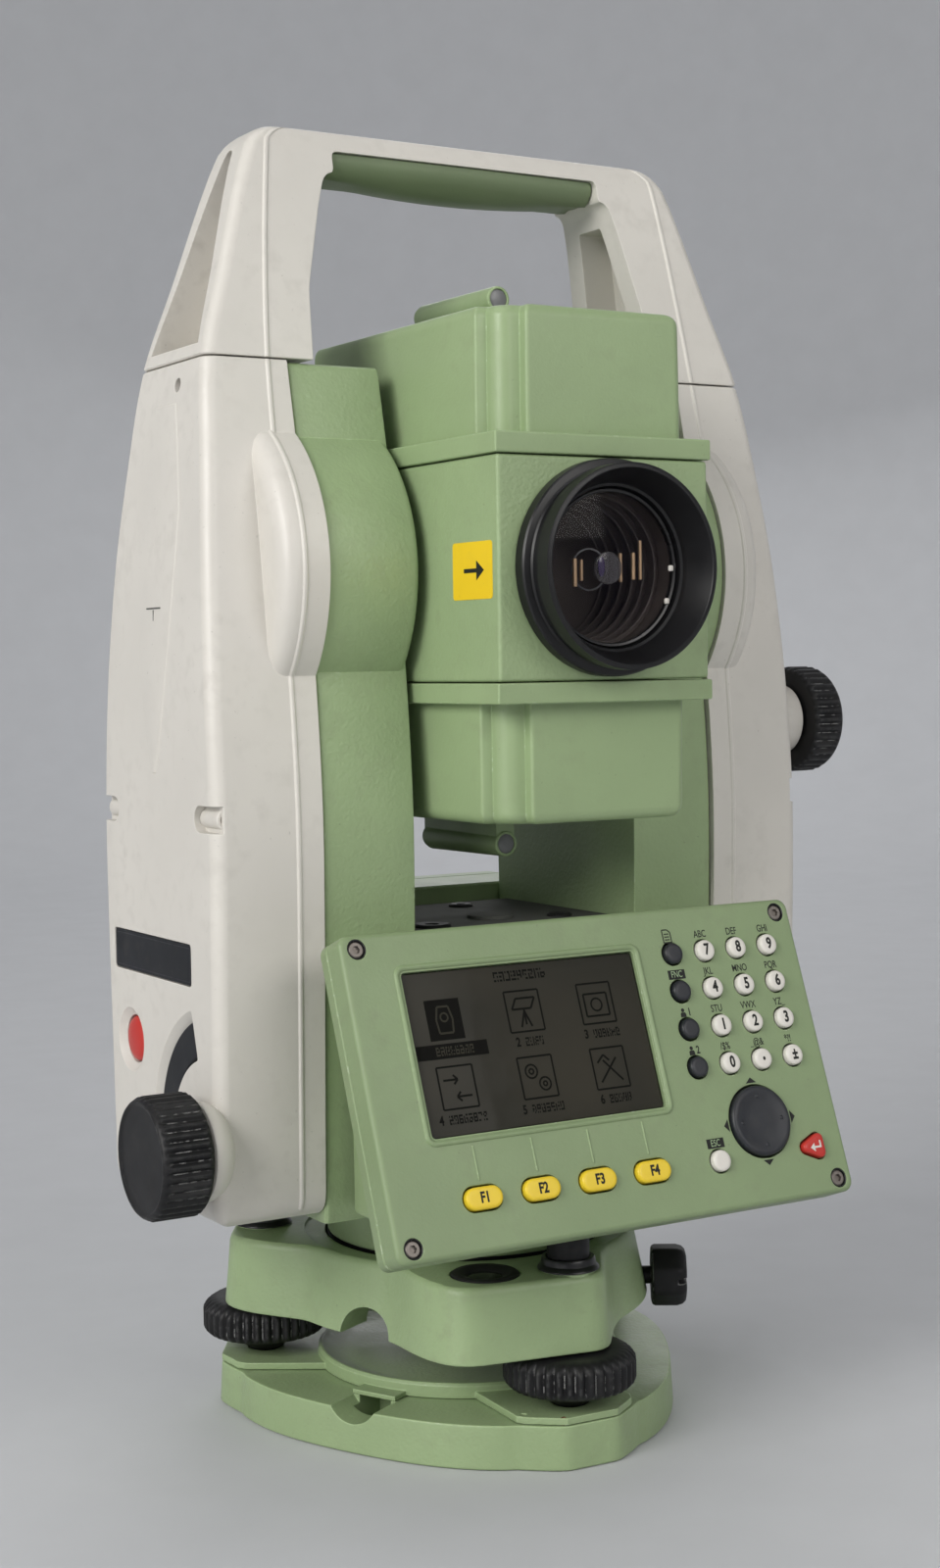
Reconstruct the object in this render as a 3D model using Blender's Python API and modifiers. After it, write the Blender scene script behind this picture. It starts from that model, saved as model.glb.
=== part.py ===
"""Surveying total station on a three-screw levelling base (tribrach).

Frame: the origin is the centre of the base plate's underside. +Z is up along the
vertical axis, -Y points to the keyboard and the objective, and +X is the right-hand
side of someone who reads the keyboard.

Every dimension below is in millimetres. The shape helpers turn them into metres.
"""

import math

import bmesh
import bpy
from mathutils import Matrix, Vector

MM = 0.001
GAP = 0.3                    # air between neighbouring pieces
OVERSHOOT = 5.0              # how far a cutter runs past the face it opens

# ---- heights of the main levels
PLATE_TOP = 12.0             # base plate's upper face
TRIBRACH_LOW = 30.0
TRIBRACH_TOP = 50.5
SEAT_Z = 44.0                # seat of the instrument in the tribrach
FRAME_LOW = 66.0             # underside of the alidade between its covers
COVER_LOW = 68.0
DECK_Z = 140.0               # floor of the gap that the telescope swings in
TILT_Z = 239.0               # tilting axis
COVER_TOP = 295.0            # joint between side covers and carrying handle
HANDLE_TOP = 359.6

# ---- widths of the alidade
GAP_X = 36.0                 # inner face of each standard
SEAM_X = 63.3                # joint between green standard and white cover
WALL = 3.0                   # wall of covers and housings
STANDARD_WALL = 4.8
CORNER_R = 6.0               # vertical corners of covers and handle

# Outline of covers and handle: (height, half width) and (height, half depth)
SIDE_LINE = [(60, 95.0), (200, 94.6), (240, 93.0), (270, 90.3), (295, 87.3), (320, 79.6), (340, 73.5), (360, 66.6)]
FRONT_LINE = [(60, 35.0), (100, 36.2), (150, 37.7), (175, 37.8), (200, 36.2), (240, 31.8), (270, 26.9),
              (295, 21.7), (320, 16.9), (340, 13.3), (360, 9.6)]
BULGE_R = 44.6               # round boss about the tilting axis
BULGE_X = 77.0               # where the boss ends on the cover

# ---- tribrach and levelling
LOBE_ANGLES = (-2.9, -122.9, 117.1)   # degrees from -Y towards +X
MID_ANGLES = (-62.9, 57.1, 177.1)
LOBE_SPANS = ((27.0, 11.0), (9.0, 9.0), (9.0, 9.0))   # each lobe's width to either side of its angle
SCREW_RADIUS = 59.4          # foot screws' distance from the vertical axis
SCREW_PITCH = 1.0
WHEEL_R = 18.1
POST_R = 5.8
WELL_R = 41.0
SPIGOT_R = 33.6
LEVEL_PLACE = (-24.4, -51.2)
LEVEL_R = 8.6
LOCK_ANGLE = 57.1
LOCK_Z = 34.5
SPINDLE_R = 12.0
SPINDLE_TOP = 98.0
COLLAR_R = 39.0

# ---- telescope
BLOCK_X = 32.9
BLOCK_FRONT = -77.0
BLOCK_REAR = 45.0
BLOCK_HALF = 27.8            # half height of the middle block
BAND_HALF = 33.5             # half height to the outside of the bands
CAP_HALF = 67.0              # half height to the caps' outer faces
CAP_X = 30.0
CAP_FRONT = -72.0
CAP_REAR = 42.0
NOTCH = 8.0                  # corner notch of the caps
SIGHT_R = 3.3
SIGHT_OFF = 75.7             # sights' distance from the tilting axis
OBJECTIVE_R = 26.1
OBJECTIVE_FRONT = -89.8
EYEPIECE_END = 91.08
TRUNNION_R = 12.0

# ---- keyboard, in its own plane: u to the right, v up the slope, w out of the face
KEYBOARD_CENTRE = Vector((-1.2, -76.7, 107.4))
KEYBOARD_TILT = 20.7
PANEL_U = 71.6
PANEL_V = 41.6
PANEL_T = 12.0
WINDOW = (-55.8, 15.9, -12.1, 30.6)   # left, right, bottom, top
KEY_PITCH_U = 10.8
KEY_PITCH_V = 10.5
KEY_R = 2.65
KEY_U0 = 28.5                # dark key column
KEY_V0 = 28.7                # top key row
F_KEY_U0 = -44.9
F_KEY_PITCH = 17.25
F_KEY_V = -28.2
NAV_PLACE = (44.8, -19.4)
ESC_PLACE = (28.9, -28.3)
ENTER_PLACE = (60.6, -28.3)
KEY_POCKET = 5.5
KEY_DEPTH = 4.2
KEY_PROUD = 1.3

# ---- side controls: (Y, Z)
H_KNOB = (-31.7, 89.3)
V_KNOB = (-20.6, 195.5)
KNOB_R = 16.0
KNOB_FACE = 114.5
KNOB_BACK = 99.0
POWER_PLACE = (19.9, 111.3)
POWER_R = 6.3
TRIGGER_RADII = (24.5, 34.0)
TRIGGER_SPAN = (20.0, 95.0)  # degrees from +Z towards +Y, about the knob's axis
NAME_PLATE = (-21.6, 30.0, 130.8, 141.5)
POCKET_Z = (171.5, 178.5)
BATTERY_DOOR = (-24.0, 24.0, 82.0, 152.0)
USB_LID = (2.0, 30.0, 158.0, 182.0)

COLOURS = {
    "green": (0.225, 0.325, 0.165, 1.0),
    "green_dark": (0.10, 0.165, 0.07, 1.0),
    "white": (0.62, 0.60, 0.55, 1.0),
    "black": (0.018, 0.018, 0.02, 1.0),
    "grip": (0.11, 0.18, 0.075, 1.0),
    "metal": (0.45, 0.45, 0.46, 1.0),
    "glass": (0.05, 0.06, 0.065, 1.0),
    "display": (0.055, 0.05, 0.04, 1.0),
    "key_white": (0.66, 0.65, 0.60, 1.0),
    "key_yellow": (0.80, 0.56, 0.03, 1.0),
    "key_red": (0.52, 0.035, 0.03, 1.0),
}
AXIS_TURN = {
    "Z": Matrix.Identity(4),
    "X": Matrix.Rotation(math.radians(90), 4, "Y"),
    "-X": Matrix.Rotation(math.radians(-90), 4, "Y"),
    "Y": Matrix.Rotation(math.radians(-90), 4, "X"),
    "-Y": Matrix.Rotation(math.radians(90), 4, "X"),
}


# ---------------------------------------------------------------- helpers

def clear_scene():
    for obj in list(bpy.data.objects):
        bpy.data.objects.remove(obj)


def collection(name):
    found = bpy.data.collections.new(name)
    bpy.context.scene.collection.children.link(found)
    return found


def principled(name, colour, roughness, metallic=0.0):
    material = bpy.data.materials.new(name)
    material.use_nodes = True
    shader = material.node_tree.nodes["Principled BSDF"]
    shader.inputs["Base Color"].default_value = colour
    shader.inputs["Roughness"].default_value = roughness
    shader.inputs["Metallic"].default_value = metallic
    return material


def add_object(name, bm):
    """Turns a bmesh in millimetres into an object in metres."""
    bmesh.ops.scale(bm, vec=(MM, MM, MM), verts=bm.verts)
    mesh = bpy.data.meshes.new(name)
    bm.to_mesh(mesh)
    bm.free()
    obj = bpy.data.objects.new(name, mesh)
    PARTS.objects.link(obj)
    return obj


def put(obj, base=(0, 0, 0), axis="Z", frame=None):
    """Places obj's own Z axis along axis at base; frame is a further placement in millimetres."""
    place = Matrix.Translation(Vector(base)) @ AXIS_TURN[axis]
    if frame is not None:
        place = frame @ place
    place.translation *= MM
    obj.matrix_world = place
    return obj


def box(name, low, high, bevel=0.0, segments=2, frame=None):
    bm = bmesh.new()
    bmesh.ops.create_cube(bm, size=1.0)
    low, high = Vector(low), Vector(high)
    bmesh.ops.scale(bm, vec=high - low, verts=bm.verts)
    bmesh.ops.translate(bm, vec=(low + high) / 2, verts=bm.verts)
    obj = add_object(name, bm)
    if bevel:
        add_bevel(obj, bevel, segments)
    return put(obj, frame=frame)


def add_bevel(obj, width, segments=2, angle=40):
    bevel = obj.modifiers.new("rounded edges", "BEVEL")
    bevel.width = width * MM
    bevel.segments = segments
    bevel.limit_method = "ANGLE"
    bevel.angle_limit = math.radians(angle)


def turned(name, profile, base=(0, 0, 0), axis="Z", steps=24, ring=False, frame=None):
    """A turned piece. profile holds (radius, height) down the outer side, top to bottom."""
    bm = bmesh.new()
    verts = [bm.verts.new((radius, 0, height)) for radius, height in profile]
    for first, second in zip(verts, verts[1:]):
        bm.edges.new((first, second))
    if ring:
        bm.edges.new((verts[-1], verts[0]))
    obj = add_object(name, bm)
    screw = obj.modifiers.new("turn", "SCREW")
    screw.angle = math.tau
    screw.steps = steps
    screw.render_steps = steps
    screw.use_merge_vertices = True
    screw.merge_threshold = 0.00001
    return put(obj, base, axis, frame)


def rod(name, radius, low, high, base=(0, 0, 0), axis="Z", steps=16, frame=None):
    profile = [(0, high), (radius, high), (radius, low), (0, low)]
    return turned(name, profile, base, axis, steps, frame=frame)


def plate(name, outline, low, high, axis="Z", base=(0, 0, 0), frame=None):
    """A flat outline made as thick as low to high along its own Z."""
    curve = bpy.data.curves.new(name, "CURVE")
    curve.dimensions = "2D"
    curve.fill_mode = "BOTH"
    curve.extrude = (high - low) / 2 * MM
    spline = curve.splines.new("POLY")
    spline.points.add(len(outline) - 1)
    for point, (x, y) in zip(spline.points, outline):
        point.co = (x * MM, y * MM, 0, 1)
    spline.use_cyclic_u = True
    shape = bpy.data.objects.new(name, curve)
    PARTS.objects.link(shape)
    bpy.context.view_layer.update()
    evaluated = shape.evaluated_get(bpy.context.evaluated_depsgraph_get())
    bm = bmesh.new()
    bm.from_mesh(bpy.data.meshes.new_from_object(evaluated))
    bpy.data.objects.remove(shape)
    bmesh.ops.remove_doubles(bm, verts=bm.verts, dist=0.000001)
    bmesh.ops.recalc_face_normals(bm, faces=bm.faces)
    bmesh.ops.scale(bm, vec=(1 / MM, 1 / MM, 1 / MM), verts=bm.verts)
    bmesh.ops.translate(bm, vec=(0, 0, (low + high) / 2), verts=bm.verts)
    return put(add_object(name, bm), base, axis, frame)


def loft(name, rings):
    """Skins rings of equal point counts and closes both ends."""
    bm = bmesh.new()
    rows = [[bm.verts.new(point) for point in ring] for ring in rings]
    count = len(rows[0])
    for lower, upper in zip(rows, rows[1:]):
        for i in range(count):
            j = (i + 1) % count
            bm.faces.new((lower[i], lower[j], upper[j], upper[i]))
    bm.faces.new(rows[0])
    bm.faces.new(rows[-1])
    bmesh.ops.recalc_face_normals(bm, faces=bm.faces)
    return put(add_object(name, bm))


def combine(target, operation, others):
    for other in others:
        step = target.modifiers.new(operation.lower(), "BOOLEAN")
        step.operation = operation
        step.solver = "EXACT"
        step.object = other
        PARTS.objects.unlink(other)
        CUTTERS.objects.link(other)
        other.hide_render = True
        other.display_type = "WIRE"
    return target


def cut(target, *cutters):
    return combine(target, "DIFFERENCE", cutters)


def join(target, *others):
    return combine(target, "UNION", others)


def finish(obj, material, body, sharp=35):
    obj.data.materials.clear()
    obj.data.materials.append(MATERIALS[material])
    obj.data.shade_smooth()
    obj.data.set_sharp_from_angle(angle=math.radians(sharp))
    obj.parent = BODIES[body]
    obj.matrix_parent_inverse = BODIES[body].matrix_world.inverted()
    return obj


# ---------------------------------------------------------------- outlines

def smooth_at(points, height):
    """Value at height on a smooth line through (height, value) points."""
    last = len(points) - 1
    i = 0
    while i < last - 1 and height > points[i + 1][0]:
        i += 1
    (h0, v0), (h1, v1) = points[i], points[i + 1]
    before, after = points[max(i - 1, 0)], points[min(i + 2, last)]
    slope0 = (v1 - before[1]) / (h1 - before[0])
    slope1 = (after[1] - v0) / (after[0] - h0)
    span = h1 - h0
    t = min(max((height - h0) / span, 0.0), 1.0)
    rise = (2 * t ** 3 - 3 * t ** 2 + 1) * v0 + (3 * t ** 2 - 2 * t ** 3) * v1
    return rise + span * ((t ** 3 - 2 * t ** 2 + t) * slope0 + (t ** 3 - t ** 2) * slope1)


def arc(cx, cy, radius, start, end, count):
    """count points on a circle, angles in degrees from +X."""
    points = []
    for i in range(count):
        angle = math.radians(start + (end - start) * i / (count - 1))
        points.append((cx + radius * math.cos(angle), cy + radius * math.sin(angle)))
    return points


def rounded_rectangle(x0, x1, y0, y1, radius, count=4):
    corners = [(x1 - radius, y0 + radius, -90), (x1 - radius, y1 - radius, 0),
               (x0 + radius, y1 - radius, 90), (x0 + radius, y0 + radius, 180)]
    points = []
    for cx, cy, start in corners:
        points += arc(cx, cy, radius, start, start + 90, count)
    return points


def direction(angle):
    """Unit vectors outward and sideways for an angle from -Y towards +X."""
    a = math.radians(angle)
    return Vector((math.sin(a), -math.cos(a), 0)), Vector((math.cos(a), math.sin(a), 0))


def polar(angle, radius, height=0.0):
    outward = direction(angle)[0]
    return Vector((outward.x * radius, outward.y * radius, height))


def lobe_offset(angle):
    """Angle to the nearest lobe of the tribrach, in degrees."""
    return min(abs((angle - lobe + 180) % 360 - 180) for lobe in LOBE_ANGLES)


def side_ring(side, height, x_in, inset=0.0):
    """Section of a side cover: open seam at x_in, rounded outer corners."""
    x_out = smooth_at(SIDE_LINE, height) - inset
    y_out = smooth_at(FRONT_LINE, height) - inset
    radius = max(CORNER_R - inset, 1.0)
    points = [(x_in, -y_out)]
    points += arc(x_out - radius, -y_out + radius, radius, -90, 0, 4)
    points += arc(x_out - radius, y_out - radius, radius, 0, 90, 4)
    points.append((x_in, y_out))
    return [(side * x, y, height) for x, y in points]


# ---------------------------------------------------------------- levelling base

def base_plate():
    flat, chamfer = (8.0, 72.0), (20.0, 63.5)

    def edge_radius(angle):
        away = lobe_offset(angle)
        side = math.degrees(math.atan2(*flat))
        corner = math.degrees(math.atan2(*chamfer))
        if away <= side:
            return flat[1] / math.cos(math.radians(away))
        if away <= corner:
            share = (away - side) / (corner - side)
            return math.hypot(*flat) * (1 - share) + math.hypot(*chamfer) * share
        return 60.0 + 9.0 * math.cos(math.radians(1.5 * away)) ** 2

    offsets = (-60, -48, -36, -26, -17.5, -6.34, 6.34, 17.5, 26, 36, 48)
    angles = [lobe + offset for lobe in sorted(LOBE_ANGLES) for offset in offsets]
    rings = []
    for height, inset in ((0.0, 1.0), (1.0, 0.0), (PLATE_TOP - 1, 0.6), (PLATE_TOP, 1.6)):
        rings.append([polar(a, edge_radius(a) - inset, height) for a in angles])
    plate_body = loft("base_plate", rings)
    cutters = [rod("tripod_thread", 7.9, -OVERSHOOT, PLATE_TOP + OVERSHOOT)]
    for angle in (MID_ANGLES[0], MID_ANGLES[2]):
        notch_axis = polar(angle, 40, PLATE_TOP + 1.5)
        cutters.append(radial_rod("base_notch", 9.0, 10, 40, angle, notch_axis))
    out, side = direction(MID_ANGLES[0])
    slot = box("base_slot", (-8, -2.5, -OVERSHOOT), (8, 2.5, PLATE_TOP + OVERSHOOT))
    slot.matrix_world = Matrix.Translation(out * 47.5 * MM) @ Matrix.Rotation(
        math.radians(MID_ANGLES[0]), 4, "Z")
    cutters.append(slot)
    finish(cut(plate_body, *cutters), "green", "base")


def radial_rod(name, radius, low, high, angle, centre, steps=16):
    """A rod that points away from the vertical axis at angle, through centre."""
    obj = rod(name, radius, low, high, steps=steps)
    return aim_out(obj, angle, centre)


def aim_out(obj, angle, centre):
    turn = Matrix.Rotation(math.radians(angle), 4, "Z") @ AXIS_TURN["-Y"]
    obj.matrix_world = Matrix.Translation(Vector(centre) * MM) @ turn
    return obj


def spring_plate():
    low, top, rim = PLATE_TOP + GAP, PLATE_TOP + 1.6, PLATE_TOP + 4.4
    profile = [(42.6, rim), (43.6, rim - 0.8), (43.6, low), (9.0, low), (9.0, top), (36.0, top)]
    dish = turned("spring_plate", profile, steps=32, ring=True)
    tab = [(-17.5, 38), (-20, 64.0), (-8.6, 70.4), (8.6, 70.4), (20, 62.0), (17.5, 38)]
    tabs = []
    for angle in LOBE_ANGLES:
        outline = [(x, -y) for x, y in tab]
        arm = plate("spring_tab", outline, low, top)
        arm.matrix_world = Matrix.Rotation(math.radians(angle), 4, "Z") @ arm.matrix_world
        tabs.append(arm)
    finish(join(dish, *tabs), "green", "base")


def tribrach_radius(angle, lobe, middle):
    """Radius of the three-lobed outline; the front lobe is wider on the level's side."""
    fade = 27.0
    nearest = 1.0
    for centre, (before, after) in zip(LOBE_ANGLES, LOBE_SPANS):
        away = (angle - centre + 180) % 360 - 180
        past = away - after if away > 0 else -away - before
        nearest = min(nearest, max(past / fade, 0.0))
    return lobe + (middle - lobe) * nearest * nearest * (3 - 2 * nearest)


def tribrach_body():
    angles = [LOBE_ANGLES[0] + step * 10.0 for step in range(36)]
    levels = [(TRIBRACH_LOW, 70.0, 53.0), (TRIBRACH_TOP - 1, 68.2, 49.0), (TRIBRACH_TOP, 67.2, 48.0)]
    rings = [[polar(a, tribrach_radius(a, lobe, mid), z) for a in angles] for z, lobe, mid in levels]
    body = loft("tribrach_body", rings)
    bosses = []
    cutters = [
        rod("well", WELL_R, SEAT_Z, TRIBRACH_TOP + OVERSHOOT, steps=32),
        rod("spigot_bore", SPIGOT_R + 0.4, TRIBRACH_LOW, SEAT_Z + 1, steps=32),
        rod("ring_space", 40.0, TRIBRACH_LOW - OVERSHOOT, SEAT_Z - 3, steps=32),
        rod("level_pocket", LEVEL_R + GAP, TRIBRACH_TOP - 5, TRIBRACH_TOP + OVERSHOOT, (*LEVEL_PLACE, 0)),
        radial_rod("lock_bore", 2.9, 30, 70, LOCK_ANGLE, (0, 0, LOCK_Z)),
    ]
    for angle in LOBE_ANGLES:
        place = polar(angle, SCREW_RADIUS)
        bosses.append(rod("post_boss", 7.3, TRIBRACH_TOP - 3, TRIBRACH_TOP + 1.5, place))
        cutters.append(rod("post_bore", POST_R + 0.4, TRIBRACH_LOW - OVERSHOOT, TRIBRACH_TOP + OVERSHOOT, place,
                           steps=18))
    for angle in (MID_ANGLES[0], MID_ANGLES[2]):
        cutters.append(radial_rod("arch", 8.5, 32, 70, angle, (0, 0, TRIBRACH_LOW - 0.4)))
    finish(cut(join(body, *bosses), *cutters), "green", "tribrach")


def circular_level():
    top = TRIBRACH_TOP + 0.6
    profile = [(0, top - 0.5), (5.6, top - 0.9), (6.2, top), (LEVEL_R - 0.5, top), (LEVEL_R, top - 0.5),
               (LEVEL_R, TRIBRACH_TOP - 4.7), (0, TRIBRACH_TOP - 4.7)]
    finish(turned("circular_level", profile, (*LEVEL_PLACE, 0), steps=20), "black", "tribrach")


def foot_screws():
    low = PLATE_TOP + 1.6 + GAP
    profile = [(0, 60.0), (POST_R - 0.8, 60.0), (POST_R, 59.2), (POST_R, 29.2), (15.4, 29.2), (WHEEL_R, 27.4),
               (WHEEL_R, 20.4), (16.4, 19.0), (9.0, 17.4), (4.5, low), (0, low)]
    for name, angle in zip(("front", "left", "right"), LOBE_ANGLES):
        screw = turned("foot_screw_" + name, profile, polar(angle, SCREW_RADIUS), steps=24)
        finish(screw, "black", "foot_screw_" + name)


def lock_knob():
    profile = [(0, 64.4), (7.9, 64.4), (9.1, 63.1), (9.1, 55.0), (8.3, 54.2), (2.6, 54.2), (2.6, 41.0), (0, 41.0)]
    knob = aim_out(turned("lock_knob", profile, steps=20), LOCK_ANGLE, (0, 0, LOCK_Z))
    flat = aim_out(box("knob_flat", (6.4, -20, 53.0), (20, 20, 80)), LOCK_ANGLE, (0, 0, LOCK_Z))
    slot = aim_out(box("knob_slot", (-20, -1.1, 62.0), (20, 1.1, 80)), LOCK_ANGLE, (0, 0, LOCK_Z))
    finish(cut(knob, flat, slot), "black", "lock_knob")


def lock_ring():
    profile = [(38.6, 40.4), (39.4, 39.6), (39.4, 33.0), (35.0, 33.0), (35.0, 40.4)]
    finish(turned("lock_ring", profile, steps=28, ring=True), "metal", "lock_ring")


# ---------------------------------------------------------------- instrument base

def flange_base():
    neck = 38.0
    profile = [(0, SPINDLE_TOP), (SPINDLE_R - 1, SPINDLE_TOP), (SPINDLE_R, SPINDLE_TOP - 1), (SPINDLE_R, 52.0),
               (neck - 1, 52.0), (neck, 51.0), (neck, 49.4), (WELL_R - 0.7, 49.4), (WELL_R - 0.7, SEAT_Z + GAP),
               (SPIGOT_R, SEAT_Z + GAP), (SPIGOT_R, 36.4), (SPIGOT_R - 1.4, 35.0), (0, 35.0)]
    finish(turned("flange_base", profile, steps=32), "green_dark", "flange")


def horizontal_circle():
    profile = [(31.0, 60.0), (31.0, 57.5), (SPINDLE_R + GAP, 57.5), (SPINDLE_R + GAP, 60.0)]
    finish(turned("horizontal_circle", profile, steps=28, ring=True), "glass", "flange")


# ---------------------------------------------------------------- alidade

def frame_ring(height, half_x, inset):
    half_y = smooth_at(FRONT_LINE, height) - inset
    return [(x, y, height) for x, y in rounded_rectangle(-half_x, half_x, -half_y, half_y, 1.5, 3)]


def alidade_frame():
    levels = [FRAME_LOW, 80, 100, 125, 150, 175, 200, 220, 240, 255, 270, 283, COVER_TOP - 2.0]
    rings = [frame_ring(z, SEAM_X, 0.9) for z in levels]
    rings.append(frame_ring(COVER_TOP - 0.5, SEAM_X, 2.4))
    frame = loft("alidade_frame", rings)
    cutters = [box("telescope_gap", (-GAP_X, -80, DECK_Z), (GAP_X, 80, 400)),
               box("base_cavity", (-80, -29, 74), (80, 29, DECK_Z - 6)),
               rod("spindle_bore", SPINDLE_R + 0.35, 0, SPINDLE_TOP + 20, steps=24),
               rod("collar_space", COLLAR_R - 5, 0, FRAME_LOW - 3, steps=28),
               rod("trunnion_bore", TRUNNION_R + 0.35, -80, 80, (0, 0, TILT_Z), "X", 24)]
    pocket_levels = [144, 165, 185, 205, 225, 245, 265, 287]
    for side in (-1, 1):
        rows = [box_ring(side, z, GAP_X + 4.0, SEAM_X + OVERSHOOT, STANDARD_WALL) for z in pocket_levels]
        cutters.append(loft("standard_pocket", rows))
    outer = [(0, SEAM_X), (BULGE_R - 1.2, SEAM_X), (BULGE_R - 1.2, GAP_X + 1.5), (BULGE_R - 2.7, GAP_X), (0, GAP_X)]
    bulges = [turned("bulge", outer, (0, 0, TILT_Z), axis, 40) for axis in ("X", "-X")]
    collar = rod("collar", COLLAR_R, 53.0, FRAME_LOW + 2, steps=32)
    sleeve = rod("sleeve", SPINDLE_R + 7, 70, SPINDLE_TOP + 6, steps=24)
    join(frame, collar, *bulges)
    cut(frame, *cutters[:2])
    join(frame, sleeve)
    cut(frame, *cutters[2:])
    finish(frame, "green", "alidade")


def box_ring(side, height, x_in, x_out, inset):
    half_y = smooth_at(FRONT_LINE, height) - inset
    return [(side * x_in, -half_y, height), (side * x_out, -half_y, height),
            (side * x_out, half_y, height), (side * x_in, half_y, height)]


def cover_shell(name, side):
    """White side cover: a hollow shell, open towards the green standard."""
    bottom = [(COVER_LOW, 6.0), (COVER_LOW + 1.8, 2.0), (COVER_LOW + 5.0, 0.3)]
    heights = [85, 110, 140, 165, 185, 205, 225, 243, 260, 278, COVER_TOP]
    levels = bottom + [(z, 0.0) for z in heights]
    shell = loft(name, [side_ring(side, z, SEAM_X + GAP, inset) for z, inset in levels])
    core_levels = [COVER_LOW + WALL, 85, 140, 185, 205, 225, 243, 260, 278, COVER_TOP - WALL]
    core = loft("cover_core", [side_ring(side, z, SEAM_X - OVERSHOOT, WALL) for z in core_levels])
    axis = "X" if side > 0 else "-X"
    bulge = turned("cover_bulge", [(0, BULGE_X), (BULGE_R - 3, BULGE_X), (BULGE_R, BULGE_X - 3),
                                   (BULGE_R, SEAM_X + GAP), (0, SEAM_X + GAP)], (0, 0, TILT_Z), axis, 40)
    bulge_core = rod("bulge_core", 28.0, SEAM_X - 1, 85.0, (0, 0, TILT_Z), axis, 24)
    return join(shell, bulge), core, bulge_core


def screw_pockets(side):
    depth_x = 92.6
    low, high = POCKET_Z
    pockets = []
    for sign in (-1, 1):
        middle, radius = (low + high) / 2, (high - low) / 2
        rounded = arc(sign * 29.0, middle, radius, -90, -90 - sign * 180, 7)
        outline = [(sign * 45.0, high), (sign * 45.0, low)] + rounded
        pockets.append(side_plate("screw_pocket", side, outline, depth_x, 110.0))
    return pockets


def side_plate(name, side, outline, x_low, x_high):
    """An outline in (Y, Z) that is as thick as x_low to x_high, on one side of the instrument."""
    low, high = sorted((side * x_low, side * x_high))
    turn = Matrix(((0, 0, 1, 0), (1, 0, 0, 0), (0, 1, 0, 0), (0, 0, 0, 1)))
    return plate(name, outline, low, high, frame=turn)


def ring_sector(inner, outer, start, end, centre, count=12):
    """Outline in (Y, Z) of a ring sector; angles from +Z towards +Y."""
    outside = arc(0, 0, outer, 90 - start, 90 - end, count)
    inside = arc(0, 0, inner, 90 - end, 90 - start, count)
    return [(centre[0] + y, centre[1] + z) for y, z in outside + inside]


def left_cover():
    shell, core, bulge_core = cover_shell("left_cover", -1)
    boss = turned("knob_boss", [(0, 98.4), (14.0, 98.4), (15.0, 97.4), (14.4, 91), (10.5, 80), (0, 80)],
                  (0, *H_KNOB), "-X", 24)
    join(shell, boss)
    y0, y1, z0, z1 = NAME_PLATE
    label = side_plate("label_recess", -1, rounded_rectangle(y0 - GAP, y1 + GAP, z0 - GAP, z1 + GAP, 1.2, 3),
                       93.8, 100)
    inner, outer = TRIGGER_RADII
    start, end = TRIGGER_SPAN
    slot = side_plate("trigger_slot", -1, ring_sector(inner - 0.4, outer + 0.4, start - 1, end + 1, H_KNOB), 85, 97)
    power = turned("power_opening", [(0, 97), (10.2, 97), (8.4, 95.1), (POWER_R + 0.4, 93.4),
                                     (POWER_R + 0.4, 85), (0, 85)], (0, *POWER_PLACE), "-X", 20)
    shaft = rod("shaft_bore", 5.4, 86, 120, (0, *H_KNOB), "-X")
    cut(shell, core, bulge_core, label, slot, power, shaft, *screw_pockets(-1))
    finish(shell, "white", "alidade")


def right_cover():
    shell, core, bulge_core = cover_shell("right_cover", 1)
    boss = turned("knob_boss", [(0, 98.4), (8.6, 98.4), (10.4, 96.8), (11.6, 94), (11.6, 88), (0, 88)],
                  (0, *V_KNOB), "X", 24)
    join(shell, boss)
    cutters = [rod("shaft_bore", 5.4, 86, 120, (0, *V_KNOB), "X")]
    for (y0, y1, z0, z1), below, radius in ((BATTERY_DOOR, 0.4, 2.4), (USB_LID, 1.3, 1.0)):
        outline = rounded_rectangle(y0 - 0.4, y1 + 0.4, z0 - below, z1 + 0.4, radius, 4)
        cutters.append(side_plate("opening", 1, outline, 85, 100))
    cut(shell, core, bulge_core, *cutters, *screw_pockets(1))
    finish(shell, "white", "alidade")


def name_plate():
    y0, y1, z0, z1 = NAME_PLATE
    piece = side_plate("name_plate", -1, rounded_rectangle(y0, y1, z0, z1, 1.0, 3), 94.1, 94.8)
    finish(piece, "black", "alidade")


def carrying_handle():
    levels = [(COVER_TOP + 0.5, 0.0), (308, 0.0), (321, 0.0), (334, 0.0), (345, 0.0), (351, 0.4), (355.5, 1.6),
              (358.4, 4.2), (HANDLE_TOP, 8.0)]
    rings = []
    for z, inset in levels:
        x, y = smooth_at(SIDE_LINE, z) - inset * 1.3, smooth_at(FRONT_LINE, z) - inset * 0.55
        rings.append([(px, py, z) for px, py in rounded_rectangle(-x, x, -y, y, 4.0, 4)])
    handle = loft("carrying_handle", rings)
    half = [(56.5, 280), (54.6, 315), (49.2, 338), (47.0, 345.5), (45.4, 347.4), (43.4, 347.8), (43.4, 353.8)]
    hand_space = half + [(-x, z) for x, z in reversed(half)]
    cutters = [plate("hand_space", hand_space, -60, 60, "-Y")]
    for side in (-1, 1):
        cutters += [leg_recess(side, 1.6, 40.0, 351.0), leg_recess(side, -40.0, -1.6, 344.0)]
    finish(cut(handle, *cutters), "white", "alidade")


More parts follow.
